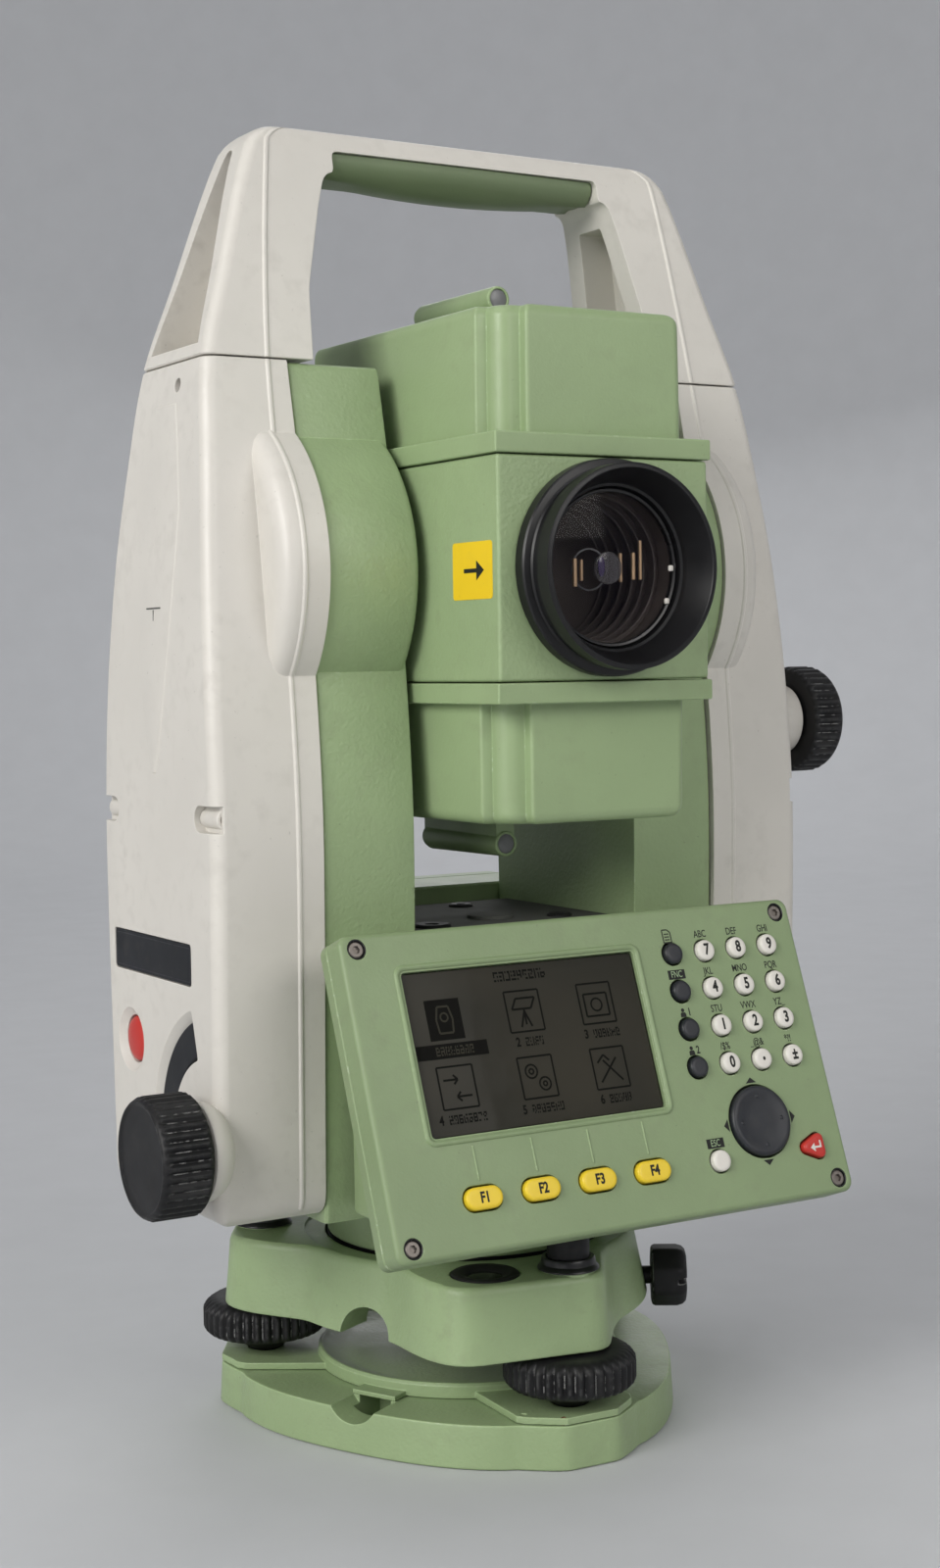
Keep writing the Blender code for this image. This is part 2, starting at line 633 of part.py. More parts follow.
def leg_recess(side, x_low, x_high, apex):
    """Tall triangular recess in a handle leg, sheared to follow the leg's lean."""
    middle_x, lean = 71.8, -0.24
    foot, low = 15.6, 299.0
    outline = [(-foot, low), (foot, low)]
    outline += arc(0, apex - 3.5, 3.0, 15, 165, 6)
    recess = side_plate("leg_recess", side, outline, x_low, x_high)
    for vert in recess.data.vertices:
        vert.co.z += side * (middle_x * MM + lean * (vert.co.y - COVER_TOP * MM))
    return recess


def handle_grip():
    grip = box("handle_grip", (-43.0, -9.6, 346.2), (43.0, 9.6, 353.5), 3.2, 3)
    finish(grip, "grip", "alidade")


def keyboard_frame():
    """Placement of the keyboard plane: u, v and w as its X, Y and Z."""
    return Matrix.Translation(KEYBOARD_CENTRE) @ Matrix.Rotation(math.radians(90 - KEYBOARD_TILT), 4, "X")


def key_table():
    """name: (material, u, v, outline about the key's centre)"""
    round_key = arc(0, 0, KEY_R, 0, 330, 12)
    keys = {}
    digits = (("7", "8", "9"), ("4", "5", "6"), ("1", "2", "3"), ("0", "point", "sign"))
    for row, names in enumerate(digits):
        v = KEY_V0 - row * KEY_PITCH_V
        keys["key_side_%d" % (row + 1)] = ("black", KEY_U0, v, round_key)
        for column, digit in enumerate(names):
            keys["key_" + digit] = ("key_white", KEY_U0 + (column + 1) * KEY_PITCH_U, v, round_key)
    stadium = arc(2.5, 0, KEY_R, -90, 90, 6) + arc(-2.5, 0, KEY_R, 90, 270, 6)
    for i in range(4):
        keys["key_f%d" % (i + 1)] = ("key_yellow", F_KEY_U0 + i * F_KEY_PITCH, F_KEY_V, stadium)
    keys["key_nav"] = ("black", *NAV_PLACE, arc(0, 0, 9.6, 0, 342, 20))
    keys["key_esc"] = ("key_white", *ESC_PLACE, round_key)
    triangle = []
    for turn in (0, 120, 240):
        a = math.radians(180 + turn)
        triangle += arc(3.0 * math.cos(a), 3.0 * math.sin(a), 2.0, 120 + turn, 240 + turn, 4)
    keys["key_enter"] = ("key_red", *ENTER_PLACE, triangle)
    return keys


def grown(outline, amount):
    """Outline moved outward from its centre by about amount."""
    points = []
    for x, y in outline:
        length = math.hypot(x, y)
        points.append((x * (1 + amount / length), y * (1 + amount / length)))
    return points


def keyboard():
    frame = keyboard_frame()
    outline = rounded_rectangle(-PANEL_U, PANEL_U, -PANEL_V, PANEL_V, 7.0, 4)
    panel = plate("keyboard_panel", outline, -PANEL_T, 0, frame=frame)
    add_bevel(panel, 1.6, 1, 60)
    left, right, bottom, top = WINDOW
    cutters = [box("window_recess", (left, bottom, -3.0), (right, top, OVERSHOOT), frame=frame)]
    for name, (material, u, v, shape) in key_table().items():
        well = [(u + x, v + y) for x, y in grown(shape, 0.4)]
        cutters.append(plate(name + "_well", well, -KEY_POCKET, OVERSHOOT, frame=frame))
    finish(cut(panel, *cutters), "green", "alidade")
    window = box("display_window", (left + GAP, bottom + GAP, -2.7), (right - GAP, top - GAP, -1.2), frame=frame)
    finish(window, "display", "alidade")
    for name, (material, u, v, shape) in key_table().items():
        key = plate(name, shape, -KEY_DEPTH, KEY_PROUD, frame=frame @ Matrix.Translation((u, v, 0)))
        finish(key, material, name)


def keyboard_neck():
    """Housing that carries the keyboard panel on the front of the alidade."""
    frame = keyboard_frame()
    top = frame @ Vector((0, 35.0, -PANEL_T - GAP))
    low = frame @ Vector((0, -37.0, -PANEL_T - GAP))
    back = -38.5
    outline = [(top.y, top.z), (low.y, low.z), (back, FRAME_LOW + 3), (back, top.z + 1)]
    neck = side_plate("keyboard_neck", 1, outline, -57, 57)
    inner = [(top.y + 3, top.z - 3.5), (low.y + 5, low.z + 4), (back + OVERSHOOT, FRAME_LOW + 7),
             (back + OVERSHOOT, top.z - 3)]
    finish(cut(neck, side_plate("neck_space", 1, inner, -54, 54)), "green", "alidade")


def rear_housing():
    housing = box("rear_housing", (-57, 38.4, 72), (57, 73, 145.5), 5.0, 2)
    space = box("rear_space", (-54, 30, 76), (54, 69.5, 141))
    finish(cut(housing, space), "green", "alidade")


# ---------------------------------------------------------------- side controls

def drive_knob(name, place, axis):
    profile = [(0, KNOB_FACE), (KNOB_R - 1.8, KNOB_FACE), (KNOB_R, KNOB_FACE - 1.8), (KNOB_R, KNOB_BACK + 0.8),
               (KNOB_R - 0.8, KNOB_BACK), (5.0, KNOB_BACK), (5.0, 88.0), (0, 88.0)]
    finish(turned(name, profile, (0, *place), axis, 24), "black", name)


def power_key():
    profile = [(0, 94.0), (POWER_R - 0.6, 94.0), (POWER_R, 93.4), (POWER_R, 88.0), (0, 88.0)]
    finish(turned("power_key", profile, (0, *POWER_PLACE), "-X", 20), "key_red", "power_key")


def trigger_key():
    outline = ring_sector(*TRIGGER_RADII, *TRIGGER_SPAN, H_KNOB)
    finish(side_plate("trigger_key", -1, outline, 88.0, 94.0), "black", "trigger_key")


def battery_pack():
    y0, y1, z0, z1 = BATTERY_DOOR
    door = side_plate("battery_door", 1, rounded_rectangle(y0, y1, z0, z1, 2.0, 4), 92.2, 95.0)
    finish(door, "white", "battery")
    cell = box("battery", (65.0, y0 + 3, z0 + 2), (91.9, y1 - 3, z1 - 4), 2.0, 2)
    finish(cell, "black", "battery")


def usb_lid():
    y0, y1, z0, z1 = USB_LID
    finish(side_plate("usb_lid", 1, rounded_rectangle(y0, y1, z0, z1, 2.0, 4), 92.8, 95.0), "white", "usb_lid")


# ---------------------------------------------------------------- telescope

def telescope_housing():
    block = box("telescope_housing", (-BLOCK_X, BLOCK_FRONT, TILT_Z - BLOCK_HALF),
                (BLOCK_X, BLOCK_REAR, TILT_Z + BLOCK_HALF), 1.2, 2)
    tube = turned("rear_tube", [(0, 61), (16, 61), (17, 60), (17, 40), (0, 40)], (0, 0, TILT_Z), "Y", 24)
    trunnions = [rod("trunnion", TRUNNION_R, 30, 52, (0, 0, TILT_Z), axis, 24) for axis in ("X", "-X")]
    join(block, tube, *trunnions)
    cut(block, rod("barrel_bore", 24.4, 32, 90, (0, 0, TILT_Z), "-Y", 28),
        rod("light_path", 15.0, -35, 38, (0, 0, TILT_Z), "Y", 24),
        rod("eyepiece_bore", 10.4, 30, 70, (0, 0, TILT_Z), "Y", 20))
    finish(block, "green", "telescope")


def cap_outline(half_x, front, rear, notch):
    step = notch * 0.45
    return [(-half_x, front + notch), (-half_x + step, front + notch), (-half_x + notch, front + step),
            (-half_x + notch, front), (half_x - notch, front), (half_x - notch, front + step),
            (half_x - step, front + notch), (half_x, front + notch), (half_x, rear - 14), (half_x - 10, rear),
            (-half_x + 10, rear), (-half_x, rear - 14)]


def telescope_cover(name, side):
    """Cap above (side +1) or below (side -1) the middle block, with its band and sight."""
    levels = [(BAND_HALF - 1, 0.0), (CAP_HALF - 4, 0.4), (CAP_HALF - 1.4, 1.2), (CAP_HALF, 3.2)]
    rings = []
    for away, inset in levels:
        rows = cap_outline(CAP_X - inset, CAP_FRONT + inset, CAP_REAR - inset, NOTCH)
        rings.append([(x, y, TILT_Z + side * away) for x, y in rows])
    cap = loft(name, rings)
    low, high = sorted((TILT_Z + side * (BLOCK_HALF + GAP), TILT_Z + side * BAND_HALF))
    band = box("band", (-33.7, BLOCK_FRONT - 0.6, low), (33.7, BLOCK_REAR, high), 0.6, 1)
    sight = turned("sight", [(0, 26), (SIGHT_R - 0.4, 26), (SIGHT_R, 25.6), (SIGHT_R + 0.6, -16), (0, -16)],
                   (0, 0, TILT_Z + side * SIGHT_OFF), "-Y", 16)
    low, high = sorted((TILT_Z + side * (CAP_HALF - 2), TILT_Z + side * SIGHT_OFF))
    foot = box("sight_foot", (-2.6, -25, low), (2.6, 15, high))
    bore = rod("sight_bore", SIGHT_R - 0.9, 18, 30, (0, 0, TILT_Z + side * SIGHT_OFF), "-Y", 14)
    core = box("cap_core", (-CAP_X + 4, CAP_FRONT + 12, TILT_Z + side * (CAP_HALF / 2) - 28),
               (CAP_X - 4, CAP_REAR - 16, TILT_Z + side * (CAP_HALF / 2) + 28))
    finish(cut(join(cap, band, foot, sight), bore, core), "green", "telescope")


def objective():
    low, front = 36.0, -OBJECTIVE_FRONT
    profile = [(OBJECTIVE_R - 1.6, front), (OBJECTIVE_R, front - 1.2), (OBJECTIVE_R, 80.6), (28.1, 80.2),
               (28.1, 77.4), (24.0, 77.4), (24.0, low), (21.0, low), (21.0, 60.0), (21.6, 76.0), (22.6, front)]
    barrel = turned("objective_barrel", profile, (0, 0, TILT_Z), "-Y", 28, ring=True)
    finish(barrel, "black", "telescope")
    edge, bow, middle = 20.6, 2.4, 70.0
    front_face = [(edge * t, middle + 2 + bow * (1 - t * t)) for t in (0, 0.6, 1.0)]
    rear_face = [(edge * t, middle - 2 - bow * 0.5 * (1 - t * t)) for t in (1.0, 0.6, 0)]
    lens = turned("objective_lens", front_face + rear_face, (0, 0, TILT_Z), "-Y", 24)
    finish(lens, "glass", "telescope")


def focusing():
    cell = [(0, 0.5), (11, 2.5), (12, 12), (14.5, 12), (14.5, -2), (0, -2)]
    finish(turned("focusing_lens", cell, (0, -6, TILT_Z), "Y", 20), "glass", "focusing_lens")
    ring = [(20.6, 58.6), (21.6, 57.6), (21.6, 47.0), (20.6, 46.0), (17.4, 46.0), (17.4, 58.6)]
    finish(turned("focus_ring", ring, (0, 0, TILT_Z), "Y", 24, ring=True), "black", "focus_ring")


def eyepiece():
    end = EYEPIECE_END
    profile = [(0, end - 4), (6.5, end - 4), (7.5, end), (13.0, end), (13.5, end - 1.5), (13.5, 75), (12.0, 72.5),
               (12.0, 61.6), (10.0, 61.6), (10.0, 42), (0, 42)]
    finish(turned("eyepiece", profile, (0, 0, TILT_Z), "Y", 20), "black", "eyepiece")


def vertical_circle():
    profile = [(24.0, 47.5), (24.0, 45.0), (TRUNNION_R + GAP, 45.0), (TRUNNION_R + GAP, 47.5)]
    circle = turned("vertical_circle", profile, (0, 0, TILT_Z), "X", 24, ring=True)
    finish(circle, "glass", "telescope")


# ---------------------------------------------------------------- assembly

def make_bodies():
    """One empty for each rigid body, on its joint's axis."""
    tilt = (0, 0, TILT_Z)
    places = {"base": (0, 0, 0), "tribrach": (0, 0, 0), "lock_knob": (0, 0, LOCK_Z), "lock_ring": (0, 0, LOCK_Z),
              "flange": (0, 0, SEAT_Z), "alidade": (0, 0, FRAME_LOW), "telescope": tilt, "focus_ring": tilt,
              "focusing_lens": tilt, "eyepiece": tilt, "horizontal_drive_knob": (0, *H_KNOB),
              "vertical_drive_knob": (0, *V_KNOB), "power_key": (0, *POWER_PLACE), "trigger_key": (0, *H_KNOB),
              "battery": (0, 0, 0), "usb_lid": (94.2, 0, USB_LID[2] + 0.6)}
    for name, angle in zip(("front", "left", "right"), LOBE_ANGLES):
        places["foot_screw_" + name] = polar(angle, SCREW_RADIUS)
    frame = keyboard_frame()
    for name, (material, u, v, shape) in key_table().items():
        places[name] = frame @ Vector((u, v, 0))
    bodies = {}
    for name, place in places.items():
        empty = bpy.data.objects.new("axis_" + name, None)
        empty.location = Vector(place) * MM
        empty.empty_display_size = 0.01
        PARTS.objects.link(empty)
        bodies[name] = empty
    bpy.context.view_layer.update()
    return bodies


def make_materials():
    shine = {"green": (0.5, 0), "green_dark": (0.5, 0), "white": (0.45, 0), "black": (0.5, 0), "grip": (0.7, 0),
             "metal": (0.3, 1), "glass": (0.05, 0), "display": (0.15, 0), "key_white": (0.4, 0),
             "key_yellow": (0.4, 0), "key_red": (0.4, 0)}
    return {name: principled(name, colour, *shine[name]) for name, colour in COLOURS.items()}


clear_scene()
PARTS = collection("total_station")
CUTTERS = collection("cutters")
MATERIALS = make_materials()
BODIES = make_bodies()

base_plate()
spring_plate()
tribrach_body()
circular_level()
foot_screws()
lock_knob()
lock_ring()
flange_base()
horizontal_circle()
alidade_frame()
left_cover()
right_cover()
name_plate()
carrying_handle()
handle_grip()
keyboard()
keyboard_neck()
rear_housing()
drive_knob("horizontal_drive_knob", H_KNOB, "-X")
drive_knob("vertical_drive_knob", V_KNOB, "X")
power_key()
trigger_key()
battery_pack()
usb_lid()
telescope_housing()
telescope_cover("telescope_top_cover", 1)
telescope_cover("telescope_bottom_cover", -1)
objective()
focusing()
eyepiece()
vertical_circle()
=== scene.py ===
"""Looks of a surveying total station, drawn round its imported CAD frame.

Shapes are drawn in millimetres and turned into metres. +Z is the vertical axis, -Y faces the person at the
keyboard, +X is that person's right.
"""
import math
import random
import bpy
import bmesh
from mathutils import Matrix, Vector


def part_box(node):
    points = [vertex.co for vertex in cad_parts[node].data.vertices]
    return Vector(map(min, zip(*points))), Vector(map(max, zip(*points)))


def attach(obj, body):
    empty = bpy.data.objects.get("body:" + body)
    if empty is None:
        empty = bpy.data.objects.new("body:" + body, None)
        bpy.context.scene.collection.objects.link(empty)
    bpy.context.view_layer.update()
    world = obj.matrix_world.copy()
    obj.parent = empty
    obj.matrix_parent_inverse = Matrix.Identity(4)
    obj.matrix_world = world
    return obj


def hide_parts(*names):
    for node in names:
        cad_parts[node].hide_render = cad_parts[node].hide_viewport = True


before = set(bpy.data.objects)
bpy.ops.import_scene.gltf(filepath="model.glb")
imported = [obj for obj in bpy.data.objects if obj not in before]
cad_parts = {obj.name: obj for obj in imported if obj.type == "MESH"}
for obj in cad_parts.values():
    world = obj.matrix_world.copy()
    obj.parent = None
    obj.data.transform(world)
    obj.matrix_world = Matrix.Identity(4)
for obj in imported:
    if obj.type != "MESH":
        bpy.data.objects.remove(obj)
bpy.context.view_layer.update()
random.seed(7)

MM = 0.001
GAP = 0.3                    # air between neighbouring pieces
OVERSHOOT = 5.0              # how far a cutter runs past the face it opens

# ---- heights of the instrument
PLATE_TOP = 12.0
TRIBRACH_LOW = 30.0
TRIBRACH_TOP = 50.5
SEAT_Z = 44.0
FRAME_LOW = 66.0
COVER_LOW = 68.0
DECK_Z = 140.0
TILT_Z = 239.0
COVER_TOP = 295.0
HANDLE_TOP = 359.6

# ---- alidade
GAP_X = 36.0
SEAM_X = 63.3
WALL = 3.0
CORNER_R = 3.8
SIDE_LINE = [(60, 95.0), (200, 94.6), (240, 93.0), (270, 90.3), (295, 87.3), (320, 79.6), (340, 73.5),
             (360, 66.6)]
FRONT_LINE = [(60, 35.0), (100, 36.2), (150, 37.7), (175, 37.8), (200, 36.2), (240, 31.8), (270, 26.9),
              (295, 21.7), (320, 16.9), (340, 13.3), (360, 9.6)]
BEAD_LINE = [(60, 70.6), (200, 70.8), (250, 70.6), (295, 69.2), (325, 66.6), (345, 64.2), (360, 62.0)]
BEAD_PROUD = 0.4
BULGE_R = 44.6
BULGE_X = 77.0

# ---- levelling base
LOBE_ANGLES = (-2.9, -122.9, 117.1)
MID_ANGLES = (-62.9, 57.1, 177.1)
# each lobe's flat face: degrees before and after its middle, its lean, and whether it ends sharply
LOBE_FACES = ((27.0, 4.9, -8.0, True), (9.0, 9.0, 0.0, False), (9.0, 9.0, 0.0, False))
FOOT_NAMES = ("front", "left", "right")
SCREW_RADIUS = 59.4
WHEEL_R = 18.1
POST_R = 5.8
WELL_R = 41.0
SPIGOT_R = 33.6
LEVEL_PLACE = (-24.4, -51.2)
LEVEL_R = 9.3
LOCK_ANGLE = 57.1
LOCK_Z = 34.5
SPINDLE_R = 12.0
SPINDLE_TOP = 98.0
COLLAR_R = 39.0

# ---- telescope
BLOCK_X = 32.9
BLOCK_FRONT = -77.0
BLOCK_REAR = 45.0
BLOCK_HALF = 27.8
BLOCK_LOW = 29.8              # the block reaches further below the axis than above it
BAND = 5.7                    # height of a cap's band
OBJECTIVE_DROP = 0.8
LENS_FORWARD = 6.0
CAP_HALF = 67.0
CAP_X = 30.0
CAP_FRONT = -72.0
CAP_REAR = 42.0
SIGHT_R = 3.3
SIGHT_OFF = 75.7
OBJECTIVE_R = 26.4
OBJECTIVE_FRONT = 89.8
TRUNNION_R = 12.0

# ---- keyboard
KEYBOARD_CENTRE = Vector((-1.2, -76.7, 107.4))
KEYBOARD_TILT = 20.7
PANEL_U = 71.6
PANEL_V = 41.6
PANEL_T = 12.0
WINDOW = (-55.8, 15.9, -12.1, 30.6)   # left, right, bottom, top
KEY_PITCH_U = 10.8
KEY_PITCH_V = 10.5
KEY_R = 2.85
KEY_U0 = 28.5
KEY_V0 = 28.7
F_KEY_U = -44.9
F_KEY_PITCH = 17.25
F_KEY_V = -28.2
NAV_PLACE = (44.8, -19.4)
NAV_R = 9.6
ESC_PLACE = (28.9, -28.3)
ENTER_PLACE = (60.6, -28.3)
KEY_POCKET = 5.5
KEY_DEPTH = 4.2
PANEL_SCREWS = [(u, v) for u in (-66.8, 66.8) for v in (-37.7, 37.7)]

# ---- side controls
H_KNOB = (-31.7, 89.3)
V_KNOB = (-20.6, 195.5)
KNOB_R = 16.0
KNOB_FACE = 114.5
H_KNOB_BACK = 100.4
V_KNOB_BACK = 103.8
POWER_PLACE = (19.9, 111.3)
POWER_R = 6.3
TRIGGER_RADII = (24.5, 34.0)
TRIGGER_SPAN = (20.0, 95.0)
HANDLE_SCREW = (0, -6.5, 288.8)
NAME_PLATE = (-21.6, 30.0, 130.8, 141.5)
POCKET_Z = (171.5, 178.5)
BATTERY_DOOR = (-24.0, 24.0, 82.0, 152.0)
USB_LID = (2.0, 30.0, 158.0, 182.0)

AXIS_TURN = {
    "Z": Matrix.Identity(4),
    "X": Matrix.Rotation(math.radians(90), 4, "Y"),
    "-X": Matrix.Rotation(math.radians(-90), 4, "Y"),
    "Y": Matrix.Rotation(math.radians(-90), 4, "X"),
    "-Y": Matrix.Rotation(math.radians(90), 4, "X"),
}
SIDE_FRAME = Matrix(((0, 0, 1, 0), (1, 0, 0, 0), (0, 1, 0, 0), (0, 0, 0, 1)))


# ---------------------------------------------------------------- drawing tools

def linked(name, data):
    """A new object in the scene that shows data."""
    obj = bpy.data.objects.new(name, data)
    bpy.context.scene.collection.objects.link(obj)
    return obj


def mesh_from(name, bm):
    mesh = bpy.data.meshes.new(name)
    bm.to_mesh(mesh)
    bm.free()
    return mesh


def shape(name, bm, where=None):
    """An object in metres from a mesh drawn in millimetres."""
    bmesh.ops.recalc_face_normals(bm, faces=bm.faces)
    mesh = mesh_from(name, bm)
    mesh.transform(Matrix.Scale(MM, 4) @ (where or Matrix.Identity(4)))
    return linked(name, mesh)


def at(base=(0, 0, 0), axis="Z"):
    return Matrix.Translation(Vector(base)) @ AXIS_TURN[axis]


def outward(angle, centre=(0, 0, 0)):
    """Local +Z points away from the vertical axis at angle."""
    return Matrix.Translation(Vector(centre)) @ Matrix.Rotation(math.radians(angle), 4,
                                                                "Z") @ AXIS_TURN["-Y"]


def skin(name, rings, where=None, caps=True, closed=False):
    """Skins rings of points. A ring of one point is a tip."""
    bm = bmesh.new()
    rows = [[bm.verts.new(point) for point in ring] for ring in rings]
    pairs = list(zip(rows, rows[1:]))
    if closed:
        pairs.append((rows[-1], rows[0]))
    for first, second in pairs:
        count = max(len(first), len(second))
        for i in range(count):
            j = (i + 1) % count
            low = [first[i % len(first)], first[j % len(first)]]
            high = [second[j % len(second)], second[i % len(second)]]
            corners = list(dict.fromkeys(low + high))
            if len(corners) > 2:
                bm.faces.new(corners)
    if caps and not closed:
        for row in (rows[0], rows[-1]):
            if len(row) > 2:
                bm.faces.new(row)
    return shape(name, bm, where)


def turned(name, profile, where=None, steps=72, closed=False, ribs=0):
    """Turns (radius, height) points about local Z. A third number is the depth of grooves between ribs."""
    if ribs:
        steps = ribs * 8
    rings = []
    for radius, height, *depth in profile:
        if radius < 0.001:
            rings.append([(0, 0, height)])
            continue
        ring = []
        for i in range(steps):
            angle = math.tau * i / steps
            reach = radius
            if depth:
                reach -= depth[0] * (0.5 - 0.5 * math.cos(angle * ribs)) ** 1.6
            ring.append((reach * math.cos(angle), reach * math.sin(angle), height))
        rings.append(ring)
    return skin(name, rings, where, caps=not closed, closed=closed)


def soften(points, radius, count=4, closed=False):
    """Rounds the corners of a line of (a, b) points."""
    result = []
    last = len(points) - 1
    for i, point in enumerate(points):
        if not closed and i in (0, last):
            result.append(point)
            continue
        corner = Vector(point)
        before, after = Vector(points[i - 1]), Vector(points[(i + 1) % len(points)])
        reach_before = min(radius, (before - corner).length * 0.45)
        reach_after = min(radius, (after - corner).length * 0.45)
        start = corner + (before - corner).normalized() * reach_before
        end = corner + (after - corner).normalized() * reach_after
        for step in range(count + 1):
            t = step / count
            result.append(tuple(start * (1 - t) ** 2 + corner * 2 * t * (1 - t) + end * t * t))
    return result


def rod(name, radius, low, high, where=None, steps=48):
    return turned(name, [(0, high), (radius, high), (radius, low), (0, low)], where, steps)


def box(name, low, high, where=None):
    bm = bmesh.new()
    bmesh.ops.create_cube(bm, size=1.0)
    low, high = Vector(low), Vector(high)
    bmesh.ops.scale(bm, vec=high - low, verts=bm.verts)
    bmesh.ops.translate(bm, vec=(low + high) / 2, verts=bm.verts)
    return shape(name, bm, where)


def plate(name, outline, low, high, where=None):
    """A flat outline, as thick as low to high along local Z."""
    return skin(name, [[(x, y, low) for x, y in outline], [(x, y, high) for x, y in outline]], where)


def round_edges(obj, width, segments=3, angle=40):
    bevel = obj.modifiers.new("edges", "BEVEL")
    bevel.width = width * MM
    bevel.segments = segments
    bevel.limit_method = "ANGLE"
    bevel.angle_limit = math.radians(angle)
    return bake(obj)


def bake(obj):
    """Makes an object's modifiers part of its mesh."""
    bpy.context.view_layer.update()
    evaluated = obj.evaluated_get(bpy.context.evaluated_depsgraph_get())
    mesh = bpy.data.meshes.new_from_object(evaluated)
    obj.modifiers.clear()
    obj.data = mesh
    return obj


def combine(target, operation, others):
    for other in others:
        step = target.modifiers.new(operation, "BOOLEAN")
        step.operation = operation
        step.solver = "EXACT"
        step.object = other
    bake(target)
    for other in others:
        bpy.data.objects.remove(other)
    return target


def cut(target, *cutters):
    return combine(target, "DIFFERENCE", cutters)


def join(target, *others):
    return combine(target, "UNION", others)


def gather(name, objects):
    """One object from several that lie apart."""
    bm = bmesh.new()
    for obj in objects:
        bm.from_mesh(obj.data)
        bpy.data.objects.remove(obj)
    return linked(name, mesh_from(name, bm))


def piece(obj, material, body, slot, *nodes, sharp=32):
    """Finishes a piece: its material, its body and the CAD nodes it stands for. The slot is not used."""
    obj.data.materials.clear()
    obj.data.materials.append(MATERIALS[material])
    obj.data.shade_smooth()
    obj.data.set_sharp_from_angle(angle=math.radians(sharp))
    weigh = obj.modifiers.new("normals", "WEIGHTED_NORMAL")
    weigh.keep_sharp = True
    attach(obj, body)
    if nodes:
        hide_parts(*nodes)
    return obj


def smooth_at(points, height):
    """Value at height on a smooth line through (height, value) points."""
    last = len(points) - 1
    i = 0
    while i < last - 1 and height > points[i + 1][0]:
        i += 1
    (h0, v0), (h1, v1) = points[i], points[i + 1]
    before, after = points[max(i - 1, 0)], points[min(i + 2, last)]
    slope0 = (v1 - before[1]) / (h1 - before[0])
    slope1 = (after[1] - v0) / (after[0] - h0)
    span = h1 - h0
    t = min(max((height - h0) / span, 0.0), 1.0)
    rise = (2 * t ** 3 - 3 * t ** 2 + 1) * v0 + (3 * t ** 2 - 2 * t ** 3) * v1
    return rise + span * ((t ** 3 - 2 * t ** 2 + t) * slope0 + (t ** 3 - t ** 2) * slope1)


def arc(cx, cy, radius, start, end, count):
    points = []
    for i in range(count):
        angle = math.radians(start + (end - start) * i / (count - 1))
        points.append((cx + radius * math.cos(angle), cy + radius * math.sin(angle)))
    return points


def rounded_rectangle(x0, x1, y0, y1, radius, count=8):
    corners = [(x1 - radius, y0 + radius, -90), (x1 - radius, y1 - radius, 0),
               (x0 + radius, y1 - radius, 90), (x0 + radius, y0 + radius, 180)]
    points = []
    for cx, cy, start in corners:
        points += arc(cx, cy, radius, start, start + 90, count)
    return points


def heights(low, high, step):
    count = max(int(round((high - low) / step)), 1)
    return [low + (high - low) * i / count for i in range(count + 1)]


def polar(angle, radius, height=0.0):
    a = math.radians(angle)
    return Vector((math.sin(a) * radius, -math.cos(a) * radius, height))


def side_plate(name, side, outline, x_low, x_high):
    """An outline in (Y, Z), as thick as x_low to x_high, on one side of the instrument."""
    low, high = sorted((side * x_low, side * x_high))
    return plate(name, outline, low, high, SIDE_FRAME)


def side_panel(name, side, edges, radius, x_low, x_high, grow=0.0, count=6):
    """A rounded rectangle on one side of the instrument; edges are its Y and Z limits, moved out by grow."""
    y0, y1, z0, z1 = edges
    outline = rounded_rectangle(y0 - grow, y1 + grow, z0 - grow, z1 + grow, radius, count)
    return side_plate(name, side, outline, x_low, x_high)


def ring_sector(inner, outer, start, end, centre, count=24):
    outside = arc(0, 0, outer, 90 - start, 90 - end, count)
    inside = arc(0, 0, inner, 90 - end, 90 - start, count)
    return [(centre[0] + y, centre[1] + z) for y, z in outside + inside]


def lettering(name, words, size, where, stretch=0.82, weight=0.02, rise=0.03):
    """Flat characters, centred on the local origin and facing local +Z."""
    curve = bpy.data.curves.new(name, "FONT")
    curve.body = words
    curve.size = size
    curve.offset = weight * size
    curve.align_x = "CENTER"
    curve.align_y = "CENTER"
    curve.resolution_u = 4
    curve.extrude = rise
    text = linked(name, curve)
    bpy.context.view_layer.update()
    mesh = bpy.data.meshes.new_from_object(text.evaluated_get(bpy.context.evaluated_depsgraph_get()))
    bpy.data.objects.remove(text)
    mesh.transform(Matrix.Scale(MM, 4) @ where @ Matrix.Diagonal((stretch, 1, 1, 1)))
    return linked(name, mesh)


# ---------------------------------------------------------------- materials

